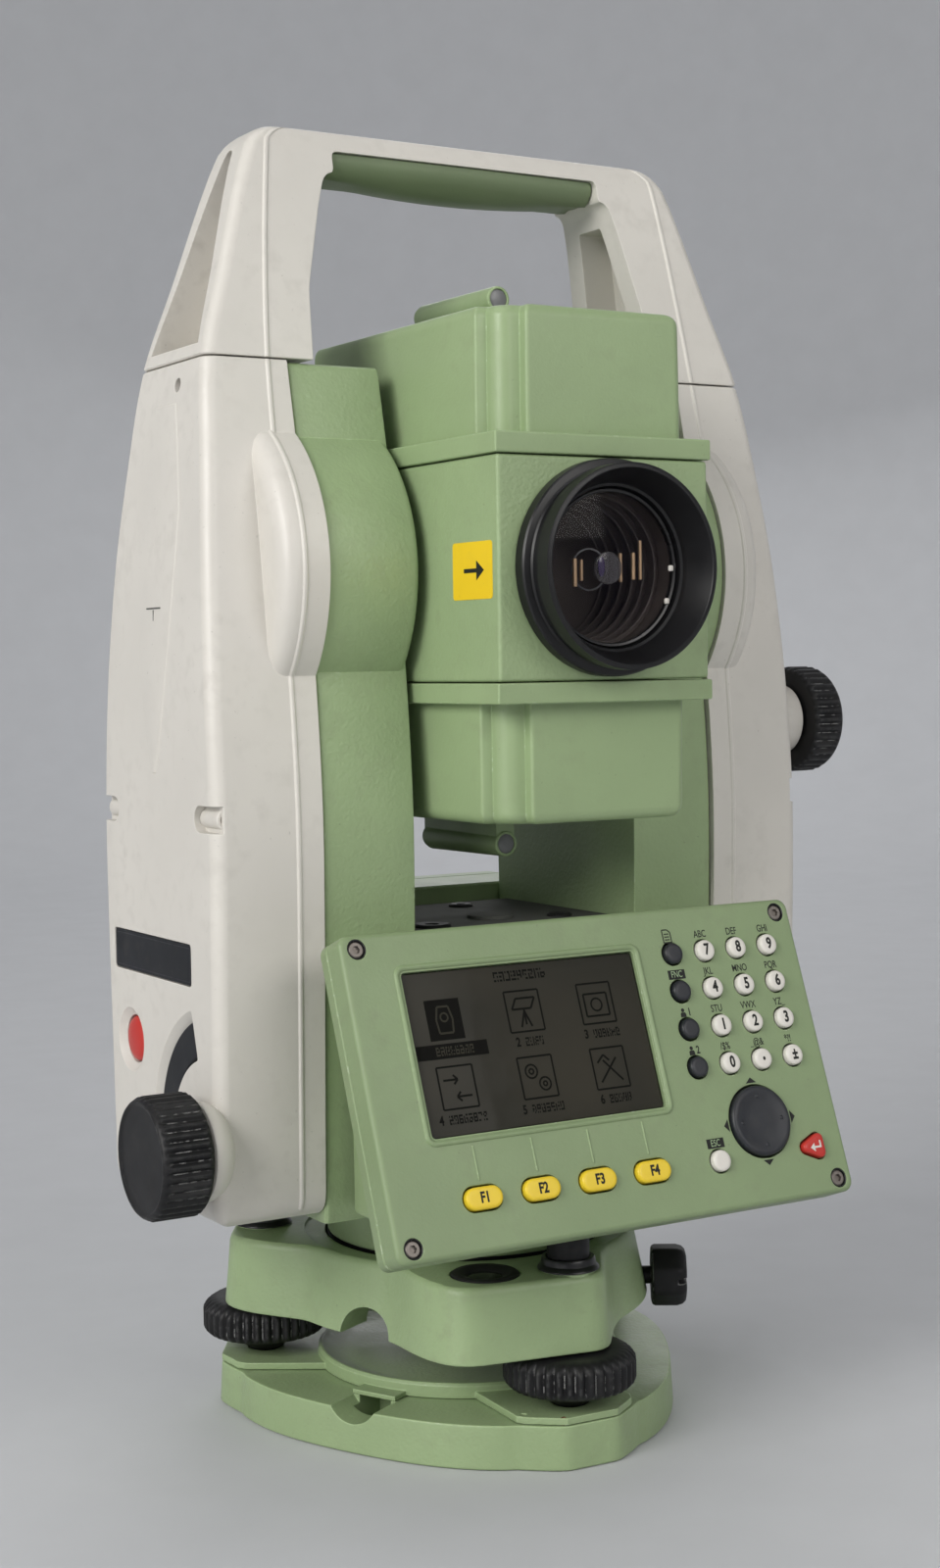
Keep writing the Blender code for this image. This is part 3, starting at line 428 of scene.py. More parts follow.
class Look:
    """One procedural material; lengths are in millimetres."""

    def __init__(self, name):
        self.material = bpy.data.materials.new(name)
        self.material.use_nodes = True
        self.tree = self.material.node_tree
        self.shader = self.tree.nodes["Principled BSDF"]
        self.place = self.add("TexCoord").outputs["Object"]

    def add(self, kind, **settings):
        node = self.tree.nodes.new("ShaderNode" + kind)
        for key, value in settings.items():
            setattr(node, key, value)
        return node

    def set(self, socket, value):
        if isinstance(value, bpy.types.NodeSocket):
            self.tree.links.new(value, socket)
        else:
            socket.default_value = value

    def stretched(self, factors):
        node = self.add("Mapping")
        self.set(node.inputs["Vector"], self.place)
        node.inputs["Scale"].default_value = factors
        return node.outputs["Vector"]

    def noise(self, size, detail=3.0, factors=None):
        node = self.add("TexNoise")
        self.set(node.inputs["Vector"], self.stretched(factors) if factors else self.place)
        node.inputs["Scale"].default_value = 1 / (size * MM)
        node.inputs["Detail"].default_value = detail
        return node.outputs["Fac"]

    def cells(self, size):
        node = self.add("TexVoronoi", feature="SMOOTH_F1")
        self.set(node.inputs["Vector"], self.place)
        node.inputs["Scale"].default_value = 1 / (size * MM)
        return node.outputs["Distance"]

    def maths(self, operation, first, second=0.0):
        node = self.add("Math", operation=operation)
        self.set(node.inputs[0], first)
        self.set(node.inputs[1], second)
        return node.outputs[0]

    def ramp(self, value, low, high, start=0.0, end=1.0):
        node = self.add("MapRange")
        self.set(node.inputs["Value"], value)
        for key, number in (("From Min", low), ("From Max", high), ("To Min", start), ("To Max", end)):
            node.inputs[key].default_value = number
        return node.outputs["Result"]

    def mix(self, factor, first, second):
        node = self.add("Mix", data_type="RGBA")
        self.set(node.inputs[0], factor)
        self.set(node.inputs[6], first)
        self.set(node.inputs[7], second)
        return node.outputs[2]

    def edge_mask(self, width):
        """1 on edges and 0 on flat faces."""
        rounded = self.add("Bevel", samples=4)
        rounded.inputs["Radius"].default_value = width * MM
        flat = self.add("NewGeometry")
        dot = self.add("VectorMath", operation="DOT_PRODUCT")
        self.set(dot.inputs[0], rounded.outputs["Normal"])
        self.set(dot.inputs[1], flat.outputs["Normal"])
        return self.ramp(dot.outputs["Value"], 0.995, 0.90)

    def relief(self, height, depth, bevel=0.0):
        """Bump from a 0..1 height, depth millimetres deep, over edges rounded by bevel."""
        bump = self.add("Bump")
        bump.inputs["Strength"].default_value = 1.0
        bump.inputs["Distance"].default_value = depth * MM
        self.set(bump.inputs["Height"], height)
        if bevel:
            rounded = self.add("Bevel", samples=6)
            rounded.inputs["Radius"].default_value = bevel * MM
            self.set(bump.inputs["Normal"], rounded.outputs["Normal"])
        self.set(self.shader.inputs["Normal"], bump.outputs["Normal"])


def tone(colour, factor):
    return (*[min(channel * factor, 1.0) for channel in colour], 1.0)


def surface(name, colour, roughness, metallic=0.0, grain=0.6, depth=0.03, bevel=0.4, mottle=0.05, dirt=0.0,
            wear=None, wear_share=0.5, edge=0.0, coat=0.0, specular=0.5, cells=False, brushed=False):
    """Paint, plastic, rubber or metal. grain and depth are the bump's size and height, edge paints a paler
    highlight on edges.
    """
    look = Look(name)
    shader = look.shader
    patches = look.noise(34.0, 2.0)
    base = look.mix(look.ramp(patches, 0.3, 0.7), tone(colour, 1 - mottle), tone(colour, 1 + mottle))
    fine = look.noise(grain, 4.0, (1, 1, 14) if brushed else None)
    if dirt:
        stains = look.ramp(look.noise(5.0, 6.0), 0.5, 0.78)
        soil = look.maths("MULTIPLY", stains, look.ramp(patches, 0.35, 0.75))
        base = look.mix(look.maths("MULTIPLY", soil, dirt), base, tone((0.16, 0.14, 0.11), 1.0))
        specks = look.ramp(look.noise(1.3, 2.0), 0.73, 0.77)
        base = look.mix(look.maths("MULTIPLY", specks, dirt * 0.9), base, tone((0.10, 0.09, 0.07), 1.0))
    if wear:
        chips = look.ramp(look.noise(2.2, 5.0), 0.66 - wear_share * 0.2, 0.74 - wear_share * 0.2)
        # The edge mask carries both real wear chips and a painted highlight on edges.
        highlight_and_wear_edges = look.edge_mask(0.5)
        # painted highlight: edges mixed towards a paler tone of the colour, by the edge share
        base = look.mix(look.maths("MULTIPLY", highlight_and_wear_edges, edge), base, tone(colour, 1.5))
        base = look.mix(look.maths("MULTIPLY", highlight_and_wear_edges, chips), base, tone(wear, 1.0))
    look.set(shader.inputs["Base Color"], base)
    uneven = look.maths("MULTIPLY", look.maths("SUBTRACT", look.noise(9.0, 5.0), 0.5), 0.22)
    look.set(shader.inputs["Roughness"], look.maths("ADD", uneven, roughness))
    shader.inputs["Metallic"].default_value = metallic
    shader.inputs["Coat Weight"].default_value = coat
    shader.inputs["Coat Roughness"].default_value = 0.12
    shader.inputs["Specular IOR Level"].default_value = specular
    if cells:
        pebbles = look.maths("MULTIPLY", look.cells(grain * 1.5), 0.6)
        fine = look.maths("ADD", pebbles, look.maths("MULTIPLY", fine, 0.6))
    look.relief(fine, depth, bevel)
    return look.material


def flat_ink(name, colour, roughness=0.55, specular=0.3):
    """Printed ink, a little uneven."""
    look = Look(name)
    inputs = look.shader.inputs
    inputs["Specular IOR Level"].default_value = specular
    look.set(inputs["Base Color"], look.mix(look.noise(0.5), tone(colour, 0.85), tone(colour, 1.15)))
    look.set(inputs["Roughness"], look.ramp(look.noise(1.5), 0, 1, roughness - 0.1, roughness + 0.1))
    return look.material


def clear_glass(name, colour, alpha):
    """Glass as a faint tinted reflection over what lies behind it, which light reaches."""
    look = Look(name)
    shader = look.shader
    smear = look.noise(12.0, 4.0)
    look.set(shader.inputs["Base Color"], look.mix(smear, tone(colour, 0.9), tone(colour, 1.1)))
    look.set(shader.inputs["Roughness"], look.ramp(smear, 0.4, 0.8, 0.02, 0.06))
    shader.inputs["Alpha"].default_value = alpha
    return look.material


def display_glass():
    """A dark grey-green liquid crystal panel behind a clear window."""
    look = Look("display_glass")
    shader = look.shader
    rows = look.ramp(look.noise(26.0, 1.0), 0.3, 0.7)
    look.set(shader.inputs["Base Color"], look.mix(rows, (0.030, 0.029, 0.023, 1),
                                                   (0.040, 0.037, 0.028, 1)))
    shader.inputs["Roughness"].default_value = 0.5
    shader.inputs["Specular IOR Level"].default_value = 0.05
    shader.inputs["Coat Weight"].default_value = 0.08
    look.set(shader.inputs["Coat Roughness"], look.ramp(look.noise(7.0, 5.0), 0.45, 0.75, 0.03, 0.2))
    return look.material


GREEN = (0.286, 0.380, 0.200)
WHITE = (0.640, 0.615, 0.565)

SMALL_PLASTIC = dict(grain=0.6, depth=0.045, bevel=0.5, mottle=0.045, dirt=0.25, wear=(0.54, 0.64, 0.44),
                     wear_share=0.35, cells=True)
KEY_CAP = dict(grain=0.4, depth=0.006, bevel=0.3, dirt=0.1)

# edge= below sets the painted highlight on each material's edges.
MATERIALS = {
    "green": surface("green_paint", GREEN, 0.42, grain=0.8, depth=0.14, bevel=0.6, mottle=0.05, dirt=0.3,
                     wear=(0.56, 0.66, 0.46), wear_share=0.4, edge=1.0, cells=True),
    "green_plastic": surface("green_plastic", GREEN, 0.40, edge=0.6, **SMALL_PLASTIC),
    # painted shade: the keyboard panel, its window frame and neck use the green plastic darkened to 0.8
    "shaded_panel_plastic": surface("shaded_panel_plastic", tuple(0.8 * c for c in GREEN), 0.42, edge=0.8, specular=0.4,
                             **SMALL_PLASTIC),
    "white": surface("white_plastic", WHITE, 0.40, grain=0.45, depth=0.022, bevel=0.4, mottle=0.03,
                     dirt=0.22, wear=(0.80, 0.78, 0.74), wear_share=0.3, edge=0.35),
    "black": surface("black_plastic", (0.009, 0.009, 0.010), 0.5, grain=0.4, depth=0.015, bevel=0.25,
                     mottle=0.15,
                     dirt=0.1, wear=(0.42, 0.42, 0.41), wear_share=1.0, edge=0.8, specular=0.3),
    "black_matt": surface("black_matt", (0.010, 0.010, 0.010), 0.6, grain=0.4, depth=0.02, bevel=0.0,
                          mottle=0.1, specular=0.3),
    "black_gloss": surface("black_anodised", (0.006, 0.006, 0.007), 0.3, grain=0.25, depth=0.004, bevel=0.2,
                           mottle=0.1, wear=(0.14, 0.14, 0.14), wear_share=0.2),
    "barrel": surface("black_lacquer", (0.009, 0.009, 0.010), 0.36, grain=0.3, depth=0.005, bevel=0.0,
                      mottle=0.1, specular=0.35),
    # tube_wall_painted_lit: brown-grey metal made paler than its own tone, as painted light on the tube and
    # its rings
    "tube": surface("tube_wall_painted_lit", (0.085, 0.070, 0.064), 0.4, metallic=0.3, grain=0.3, depth=0.004,
                    bevel=0.0, mottle=0.2),
    "label": surface("label_black", (0.007, 0.008, 0.011), 0.34, grain=2.0, depth=0.004, bevel=0.15,
                     mottle=0.2, dirt=0.15, wear=(0.08, 0.08, 0.08), specular=0.2),
    "grip": surface("grip_rubber", (0.155, 0.205, 0.110), 0.52, grain=0.45, depth=0.03, bevel=0.5,
                    mottle=0.07, dirt=0.2),
    "metal": surface("brushed_steel", (0.55, 0.54, 0.52), 0.33, metallic=1.0, grain=0.4, depth=0.01,
                     bevel=0.15, mottle=0.08, dirt=0.3, brushed=True),
    "screw": surface("screw_steel", (0.23, 0.205, 0.185), 0.45, metallic=0.85, grain=0.3, depth=0.01,
                     bevel=0.1, mottle=0.1, dirt=0.5),
    "sight": surface("sight_window", (0.17, 0.17, 0.18), 0.3, grain=0.5, depth=0.004, bevel=0.0,
                     mottle=0.1),
    "deck": surface("deck_grey", (0.105, 0.108, 0.100), 0.75, grain=0.5, depth=0.02, bevel=0.3, mottle=0.08,
                    dirt=0.3, specular=0.06),
    "key_white": surface("key_white", (0.70, 0.675, 0.62), 0.36, grain=0.4, depth=0.006, bevel=0.25,
                         mottle=0.03, dirt=0.12),
    "key_black": surface("key_black", (0.015, 0.017, 0.022), 0.42, grain=0.4, depth=0.008, bevel=0.25,
                         mottle=0.15, dirt=0.25, wear=(0.06, 0.06, 0.07)),
    "key_yellow": surface("key_yellow", (0.80, 0.58, 0.030), 0.36, mottle=0.04, **KEY_CAP),
    "key_red": surface("key_red", (0.50, 0.030, 0.022), 0.36, mottle=0.05, **KEY_CAP),
    "sticker": surface("yellow_sticker", (0.82, 0.56, 0.012), 0.4, grain=1.0, depth=0.004, bevel=0.1,
                       mottle=0.03, dirt=0.1),
    "rust": surface("rust", (0.13, 0.055, 0.022), 0.8, grain=0.3, depth=0.05, bevel=0.1, mottle=0.4),
    "circle": surface("graduated_glass", (0.35, 0.38, 0.38), 0.15, grain=0.6, depth=0.004, bevel=0.1,
                      coat=0.5),
    "copper": surface("gilt_metal", (0.62, 0.42, 0.26), 0.35, metallic=0.6, grain=0.3, depth=0.02,
                      bevel=0.0),
    "ink": flat_ink("ink_black", (0.013, 0.014, 0.012)),
    "ink_white": flat_ink("ink_white", (0.66, 0.64, 0.60)),
    "ink_green": flat_ink("ink_green", (0.30, 0.40, 0.24)),
    "pixels": flat_ink("display_ink", (0.008, 0.008, 0.007), 0.6, 0.03),
    "pixels_pale": flat_ink("display_pale", (0.036, 0.034, 0.026), 0.6, 0.03),
    "display": display_glass(),
    "lens": clear_glass("coated_lens", (0.012, 0.010, 0.018), 0.08),
    "violet": surface("coated_violet", (0.035, 0.020, 0.075), 0.1, grain=0.5, depth=0.0, bevel=0.0,
                      coat=1.0),
    "prism": clear_glass("prism_glass", (0.105, 0.098, 0.105), 0.55),
    "vial": clear_glass("vial_glass", (0.020, 0.026, 0.016), 0.5),
}


# ---------------------------------------------------------------- levelling base

def lobe_offset(angle):
    return min(abs((angle - lobe + 180) % 360 - 180) for lobe in LOBE_ANGLES)


def plate_radius(angle):
    """Outline of the base plate: a flat and two chamfers at each screw, and a low arc between screws."""
    flat, chamfer = (8.0, 72.0), (20.0, 63.5)
    away = lobe_offset(angle)
    side = math.degrees(math.atan2(*flat))
    corner = math.degrees(math.atan2(*chamfer))
    if away <= side:
        return flat[1] / math.cos(math.radians(away))
    if away <= corner:
        share = (away - side) / (corner - side)
        return math.hypot(*flat) * (1 - share) + math.hypot(*chamfer) * share
    return 60.0 + 9.0 * math.cos(math.radians(1.5 * away)) ** 2


def eased(radius_at, angle, span=1.1):
    """Outline radius with its corners rounded over span degrees."""
    return sum(radius_at(angle + span * k / 3) for k in range(-3, 4)) / 7


def base_casting():
    angles = [i * 1.5 for i in range(240)]
    levels = [(0.0, 0.6), (0.3, 0.2), (0.7, 0.0), (PLATE_TOP - 0.7, 0.6), (PLATE_TOP - 0.2, 0.8),
              (PLATE_TOP, 1.3)]
    rings = [[polar(a, eased(plate_radius, a) - inset, z) for a in angles] for z, inset in levels]
    body = skin("base_casting", rings)
    cutters = [rod("tripod_thread", 7.9, -OVERSHOOT, PLATE_TOP + OVERSHOOT)]
    for angle in (MID_ANGLES[0], MID_ANGLES[2]):
        cutters.append(rod("base_notch", 8.4, 48, 80, outward(angle, (0, 0, PLATE_TOP + 4.4)), 64))
    turn = Matrix.Rotation(math.radians(MID_ANGLES[0]), 4, "Z")
    cutters.append(box("base_slot", (-5.2, -51.0, 4.0), (5.2, -38.0, PLATE_TOP + OVERSHOOT), turn))
    piece(cut(body, *cutters), "green", "base", "green", "base_plate")


def spring_dish():
    low, top, rim = PLATE_TOP + GAP, PLATE_TOP + 2.1, PLATE_TOP + 4.4
    profile = [(9.0, top), (35.0, top), (38.0, top + 0.3), (41.6, rim - 0.5), (42.4, rim),
               (43.1, rim - 0.1), (43.6, rim - 0.8), (43.6, low), (9.0, low)]
    dish = turned("spring_dish", profile, steps=144, closed=True)
    tab = [(-18.4, 38), (-18.4, 62.6), (-16.8, 64.8), (-7.9, 71.2), (7.9, 71.2), (15.8, 65.5), (17.2, 62.6),
           (17.2, 38)]
    arms = []
    for angle in LOBE_ANGLES:
        turn = Matrix.Rotation(math.radians(angle), 4, "Z")
        arm = plate("spring_tab", [(x, -y) for x, y in tab], low, top, turn)
        hole = rod("tab_hole", 0.9, low - 1, top + 1, turn @ at((-16.2, -62.4, 0)), 16)
        seat = rod("tab_seat", 5.2, low + 0.5, top + 1, turn @ at((0, -SCREW_RADIUS, 0)))
        arms.append(cut(arm, hole, seat))
    turn = Matrix.Rotation(math.radians(MID_ANGLES[0]), 4, "Z")
    tongue = box("tongue", (-7.0, -48.6, low), (7.0, -38.0, low + 1.2), turn)
    piece(join(dish, tongue, *arms), "green", "base", "green", "spring_plate")
    spot = [(x * (1 + 0.25 * math.sin(5 * i)), y) for i, (x, y) in enumerate(arc(0, 0, 1.2, 0, 330, 12))]
    mark = plate("rust_mark", spot, -0.25, 0.03, outward(-9.6, polar(-9.6, 70.8, 13.2)))
    piece(mark, "rust", "base", "green")


def lobed_radius(angle, lobe, middle):
    """Outline of the tribrach: a flat face on each lobe and a hollow between lobes."""
    fade = 27.0
    nearest, reach, sharp = 1.0, lobe, False
    for centre, (before, after, lean, sharp_after) in zip(LOBE_ANGLES, LOBE_FACES):
        away = (angle - centre + 180) % 360 - 180
        past = away - after if away > 0 else -away - before
        half = math.radians((before + after) / 2)
        face = lobe * (0.6 + 0.4 * math.cos(half))
        if past <= 0:
            return face / math.cos(math.radians(away - lean))
        if past / fade < nearest:
            nearest = past / fade
            reach = face / math.cos(math.radians((after if away > 0 else -before) - lean))
            sharp = sharp_after and away > 0
    share = 1 - (1 - nearest) ** 2.2 if sharp else nearest * nearest * (3 - 2 * nearest)
    return reach + (middle - reach) * share


def tribrach_radius(angle, lobe, middle):
    span = 3.0
    return sum(lobed_radius(angle + span * k / 4, lobe, middle) for k in range(-4, 5)) / 9


def tribrach_casting():
    angles = [LOBE_ANGLES[0] + i * 2.0 for i in range(180)]
    levels = [(30.0, 70.0, 53.0, 0.7), (30.3, 70.0, 53.0, 0.2), (30.8, 70.0, 52.9, 0.0),
              (40.0, 69.1, 51.0, 0.0), (48.4, 68.4, 49.3, 0.0), (49.4, 68.3, 49.1, 0.25),
              (50.1, 68.2, 49.0, 0.75), (50.5, 68.2, 49.0, 1.5)]
    rings = [[polar(angle, tribrach_radius(angle, lobe, middle) - inset, z) for angle in angles]
             for z, lobe, middle, inset in levels]
    body = skin("tribrach_casting", rings)
    cutters = [
        rod("well", WELL_R, SEAT_Z, TRIBRACH_TOP + OVERSHOOT, steps=128),
        rod("spigot_bore", SPIGOT_R + 0.4, TRIBRACH_LOW, SEAT_Z + 1, steps=96),
        rod("ring_space", 40.0, TRIBRACH_LOW - OVERSHOOT, SEAT_Z - 3, steps=128),
        rod("level_pocket", LEVEL_R + GAP, TRIBRACH_TOP - 5, TRIBRACH_TOP + OVERSHOOT,
            at((*LEVEL_PLACE, 0))),
        rod("lock_bore", 2.9, 30, 70, outward(LOCK_ANGLE, (0, 0, LOCK_Z)), 24),
        rod("top_step", 47.0, TRIBRACH_TOP - 0.7, TRIBRACH_TOP + OVERSHOOT, steps=128),
    ]
    bosses = []
    for angle in LOBE_ANGLES:
        place = at(polar(angle, SCREW_RADIUS))
        bosses.append(rod("post_boss", 7.6, TRIBRACH_TOP - 3, TRIBRACH_TOP + 0.6, place))
        cutters.append(rod("post_bore", POST_R + 0.4, TRIBRACH_LOW - OVERSHOOT, TRIBRACH_TOP + OVERSHOOT,
                           place))
    for angle in (MID_ANGLES[0], MID_ANGLES[2]):
        cutters.append(rod("arch", 8.5, 32, 70, outward(angle, (0, 0, TRIBRACH_LOW - 0.4)), 56))
    body = cut(body, *cutters[:6])
    piece(cut(join(body, *bosses), *cutters[6:]), "green", "tribrach", "green", "tribrach_body")


def post_collars():
    for name, angle in zip(FOOT_NAMES, LOBE_ANGLES):
        collar = [(6.1, 54.2), (7.0, 54.2), (7.3, 53.6), (7.5, 52.4), (8.3, 51.5), (8.4, 51.0), (7.7, 50.7),
                  (6.1, 50.7)]
        ring = turned("post_collar_" + name, collar, at(polar(angle, SCREW_RADIUS)), 64, closed=True)
        piece(ring, "black_gloss", "tribrach", "black")


def round_level():
    top = TRIBRACH_TOP + 0.6
    rim = [(4.9, top - 1.7), (4.9, top - 1.1), (5.4, top - 0.7), (6.9, top - 0.15), (7.5, top),
           (LEVEL_R - 0.5, top - 0.1), (LEVEL_R - 0.1, top - 0.4), (LEVEL_R, top - 0.8),
           (LEVEL_R, TRIBRACH_TOP - 4.7), (4.9, TRIBRACH_TOP - 4.7)]
    place = at((*LEVEL_PLACE, 0))
    piece(turned("level_case", rim, place, closed=True), "black_matt", "tribrach", "black",
          "circular_level")
    bowl = [(0, top - 3.6), (4.7, top - 3.6), (4.7, top - 2.8), (0, top - 2.8)]
    piece(turned("level_bowl", bowl, place), "black_matt", "tribrach", "black")
    vial = [(0, top - 0.75), (2.6, top - 0.85), (4.7, top - 1.2), (4.7, top - 2.5), (0, top - 2.5)]
    piece(turned("level_vial", vial, place), "vial", "tribrach", "black")
    ring = [(2.1, top - 2.55), (2.4, top - 2.55), (2.4, top - 2.75), (2.1, top - 2.75)]
    piece(turned("level_circle", ring, place, 48, closed=True), "sight", "tribrach", "black")


def foot_screws():
    low = PLATE_TOP + 1.6 + GAP
    profile = [(0, 60.0), (2.4, 60.0), (2.6, 59.4), (4.4, 59.4), (4.6, 60.0), (5.1, 60.0), (POST_R, 59.2),
               (POST_R, 31.0), (6.6, 29.6), (13.6, 29.2), (15.6, 28.9, 0.1), (17.0, 28.0, 0.6),
               (17.9, 26.9, 1.0), (WHEEL_R, 26.0, 1.1), (WHEEL_R, 21.6, 1.1), (17.8, 20.6, 0.9),
               (16.6, 19.4, 0.3), (15.0, 18.9, 0.0), (9.0, 17.4), (4.5, low), (0, low)]
    for name, angle in zip(FOOT_NAMES, LOBE_ANGLES):
        wheel = turned("foot_wheel_" + name, profile, at(polar(angle, SCREW_RADIUS)), ribs=38)
        piece(wheel, "black", "foot_screw_" + name, "black", "foot_screw_" + name, sharp=50)


def lock_grip():
    where = outward(LOCK_ANGLE, (0, 0, LOCK_Z))
    octagon = [(math.cos(math.radians(a)) * 9.6, math.sin(math.radians(a)) * 9.6) for a in range(22, 382,
                                                                                                 45)]
    outline = soften(octagon, 1.2, 3, closed=True)
    rings = []
    for height, inset in ((54.2, 1.5), (54.5, 0.9), (55.2, 0.5), (61.6, 0.5), (63.2, 1.0), (64.1, 1.9),
                          (64.4, 3.0)):
        rings.append([(x * (1 - inset / 9.6), y * (1 - inset / 9.6), height) for x, y in outline])
    knob = skin("lock_grip", rings, where)
    shaft = rod("lock_shaft", 2.6, 41.0, 55.0, where, 24)
    slot = box("knob_slot", (-20, -0.7, 61.8), (20, 0.7, 80), where)
    piece(cut(join(knob, shaft), slot), "black", "lock_knob", "black", "lock_knob")


def lock_and_flange():
    ring = soften([(38.6, 40.4), (39.4, 39.6), (39.4, 33.0), (35.0, 33.0), (35.0, 40.4)], 0.3, 2,
                  closed=True)
    piece(turned("clamp_ring", ring, steps=128, closed=True), "metal", "lock_ring", "metal", "lock_ring")
    neck = 38.0
    profile = [(0, SPINDLE_TOP), (SPINDLE_R - 1, SPINDLE_TOP), (SPINDLE_R, SPINDLE_TOP - 1),
               (SPINDLE_R, 52.0), (neck - 1, 52.0), (neck, 51.0), (neck, 49.4), (WELL_R - 0.7, 49.4),
               (WELL_R - 0.7, SEAT_Z + GAP), (SPIGOT_R, SEAT_Z + GAP), (SPIGOT_R, 36.4),
               (SPIGOT_R - 1.4, 35.0), (24.0, 35.0), (23.0, 36.0), (0, 36.0)]
    flange = turned("centring_flange", [profile[0]] + soften(profile[1:-1], 0.3, 2) + [profile[-1]],
                    steps=128)
    # painted shade: the flange is black matt, not dark green, so the gap under the collar shows as a dark
    # line
    piece(flange, "black_matt", "flange", "green_dark", "flange_base")
    disc = [(31.0, 60.0), (31.0, 57.5), (SPINDLE_R + GAP, 57.5), (SPINDLE_R + GAP, 60.0)]
    piece(turned("horizontal_disc", disc, steps=128, closed=True), "circle", "flange", "circle_glass",
          "horizontal_circle")


# ---------------------------------------------------------------- alidade

def frame_ring(height, half_x, inset):
    half_y = smooth_at(FRONT_LINE, height) - inset
    return [(x, y, height) for x, y in rounded_rectangle(-half_x, half_x, -half_y, half_y, 1.5, 4)]


def pocket_ring(side, height):
    half_y = smooth_at(FRONT_LINE, height) - 4.8
    x_in, x_out = GAP_X + 4.0, SEAM_X + OVERSHOOT
    return [(side * x_in, -half_y, height), (side * x_out, -half_y, height),
            (side * x_out, half_y, height), (side * x_in, half_y, height)]


def standards():
    """The green casting: base, two standards and the round bosses at the tilting axis."""
    top = COVER_TOP - 0.5
    levels = [(z, 0.9) for z in heights(FRAME_LOW, top - 1.8, 6.0)] + [(top - 0.6, 1.3), (top, 2.2)]
    body = skin("standards", [frame_ring(z, SEAM_X, inset) for z, inset in levels])
    edge = BULGE_R - 1.2
    boss = [(0, SEAM_X), (edge, SEAM_X), (edge, GAP_X + 2.2), (edge - 0.6, GAP_X + 0.8),
            (edge - 1.6, GAP_X + 0.1), (edge - 2.4, GAP_X), (0, GAP_X)]
    bosses = [turned("boss", boss, at((0, 0, TILT_Z), axis), 144) for axis in ("X", "-X")]
    collar = turned("collar", [(0, FRAME_LOW + 2), (COLLAR_R + 1.3, FRAME_LOW + 2), (COLLAR_R + 1.3, 51.2),
                               (COLLAR_R + 1.0, 50.6), (COLLAR_R + 0.4, 50.4), (COLLAR_R - 0.4, 50.5),
                               (COLLAR_R - 0.6, 53.0), (0, 53.0)], steps=128)
    cutters = [box("telescope_gap", (-GAP_X, -80, DECK_Z), (GAP_X, 80, 400)),
               box("base_cavity", (-80, -29, 74), (80, 29, DECK_Z - 6))]
    bores = [rod("spindle_bore", SPINDLE_R + 0.35, 0, SPINDLE_TOP + 20),
             rod("collar_space", COLLAR_R - 5, 0, FRAME_LOW - 3, steps=96),
             rod("trunnion_bore", TRUNNION_R + 0.35, -80, 80, at((0, 0, TILT_Z), "X"))]
    for side in (-1, 1):
        bores.append(skin("standard_pocket", [pocket_ring(side, z) for z in heights(144, 287, 12.0)]))
    join(body, collar, *bosses)
    cut(body, *cutters)
    cut(body, *bores)
    piece(body, "green", "alidade", "green", "alidade_frame", sharp=24)


def bead(line, y, proud):
    """Section of the raised bead line at X = line, on a face at y."""
    return [(line - 0.75, y), (line - 0.4, y + proud * 0.8), (line, y + proud),
            (line + 0.4, y + proud * 0.8), (line + 0.75, y)]


def cover_section(side, height, inset, x_in, beaded=True):
    """Section of a side cover: seam, raised bead, rounded corners."""
    x_out = smooth_at(SIDE_LINE, height) - inset
    y_out = smooth_at(FRONT_LINE, height) - inset
    radius = max(CORNER_R - inset, 1.0)
    line = smooth_at(BEAD_LINE, height)
    edge = [(x_in, y_out)] + bead(line, y_out, BEAD_PROUD if beaded else 0.0)
    points = [(x, -y) for x, y in edge]
    points += arc(x_out - radius, -y_out + radius, radius, -90, 0, 9)
    points += arc(x_out - radius, y_out - radius, radius, 0, 90, 9)
    points += edge[::-1]
    return [(side * x, y, height) for x, y in points]


def cover_shell(name, side):
    bottom = [(COVER_LOW, 6.0), (COVER_LOW + 0.5, 4.2), (COVER_LOW + 1.8, 2.0), (COVER_LOW + 3.2, 0.9),
              (COVER_LOW + 5.0, 0.25)]
    top = [(COVER_TOP - 0.5, 0.0), (COVER_TOP, 0.4)]
    levels = bottom + [(z, 0.0) for z in heights(COVER_LOW + 7, COVER_TOP - 2, 5.0)] + top
    shell = skin(name, [cover_section(side, z, inset, SEAM_X + GAP, inset < 1) for z, inset in levels])
    core_levels = heights(COVER_LOW + WALL, COVER_TOP - WALL, 14.0)
    core = skin("cover_core", [cover_section(side, z, WALL, SEAM_X - OVERSHOOT,
                                             False) for z in core_levels])
    axis = "X" if side > 0 else "-X"
    line = smooth_at(BEAD_LINE, TILT_Z)
    profile = [(0, BULGE_X), (BULGE_R - 5.2, BULGE_X), (BULGE_R - 3.4, BULGE_X - 0.3),
               (BULGE_R - 1.6, BULGE_X - 1.2), (BULGE_R - 0.5, BULGE_X - 2.5), (BULGE_R, BULGE_X - 4.2),
               (BULGE_R, line + 0.75), (BULGE_R + 0.35, line + 0.4), (BULGE_R + BEAD_PROUD, line),
               (BULGE_R + 0.35, line - 0.4), (BULGE_R, line - 0.75), (BULGE_R, SEAM_X + GAP),
               (0, SEAM_X + GAP)]
    place = at((0, 0, TILT_Z), axis)
    bulge = turned("cover_bulge", profile, place, 160)
    return join(shell, bulge), core, rod("bulge_core", 28.0, SEAM_X - 1, 85.0, place)


def screw_pockets(side):
    low, high = POCKET_Z
    middle, radius = (low + high) / 2, (high - low) / 2
    pockets = []
    for sign in (-1, 1):
        rounded = arc(sign * 29.0, middle, radius, -90, -90 - sign * 180, 16)
        outline = [(sign * 45.0, high), (sign * 45.0, low)] + rounded
        pockets.append(side_plate("screw_pocket", side, outline, 92.0, 110.0))
    return pockets


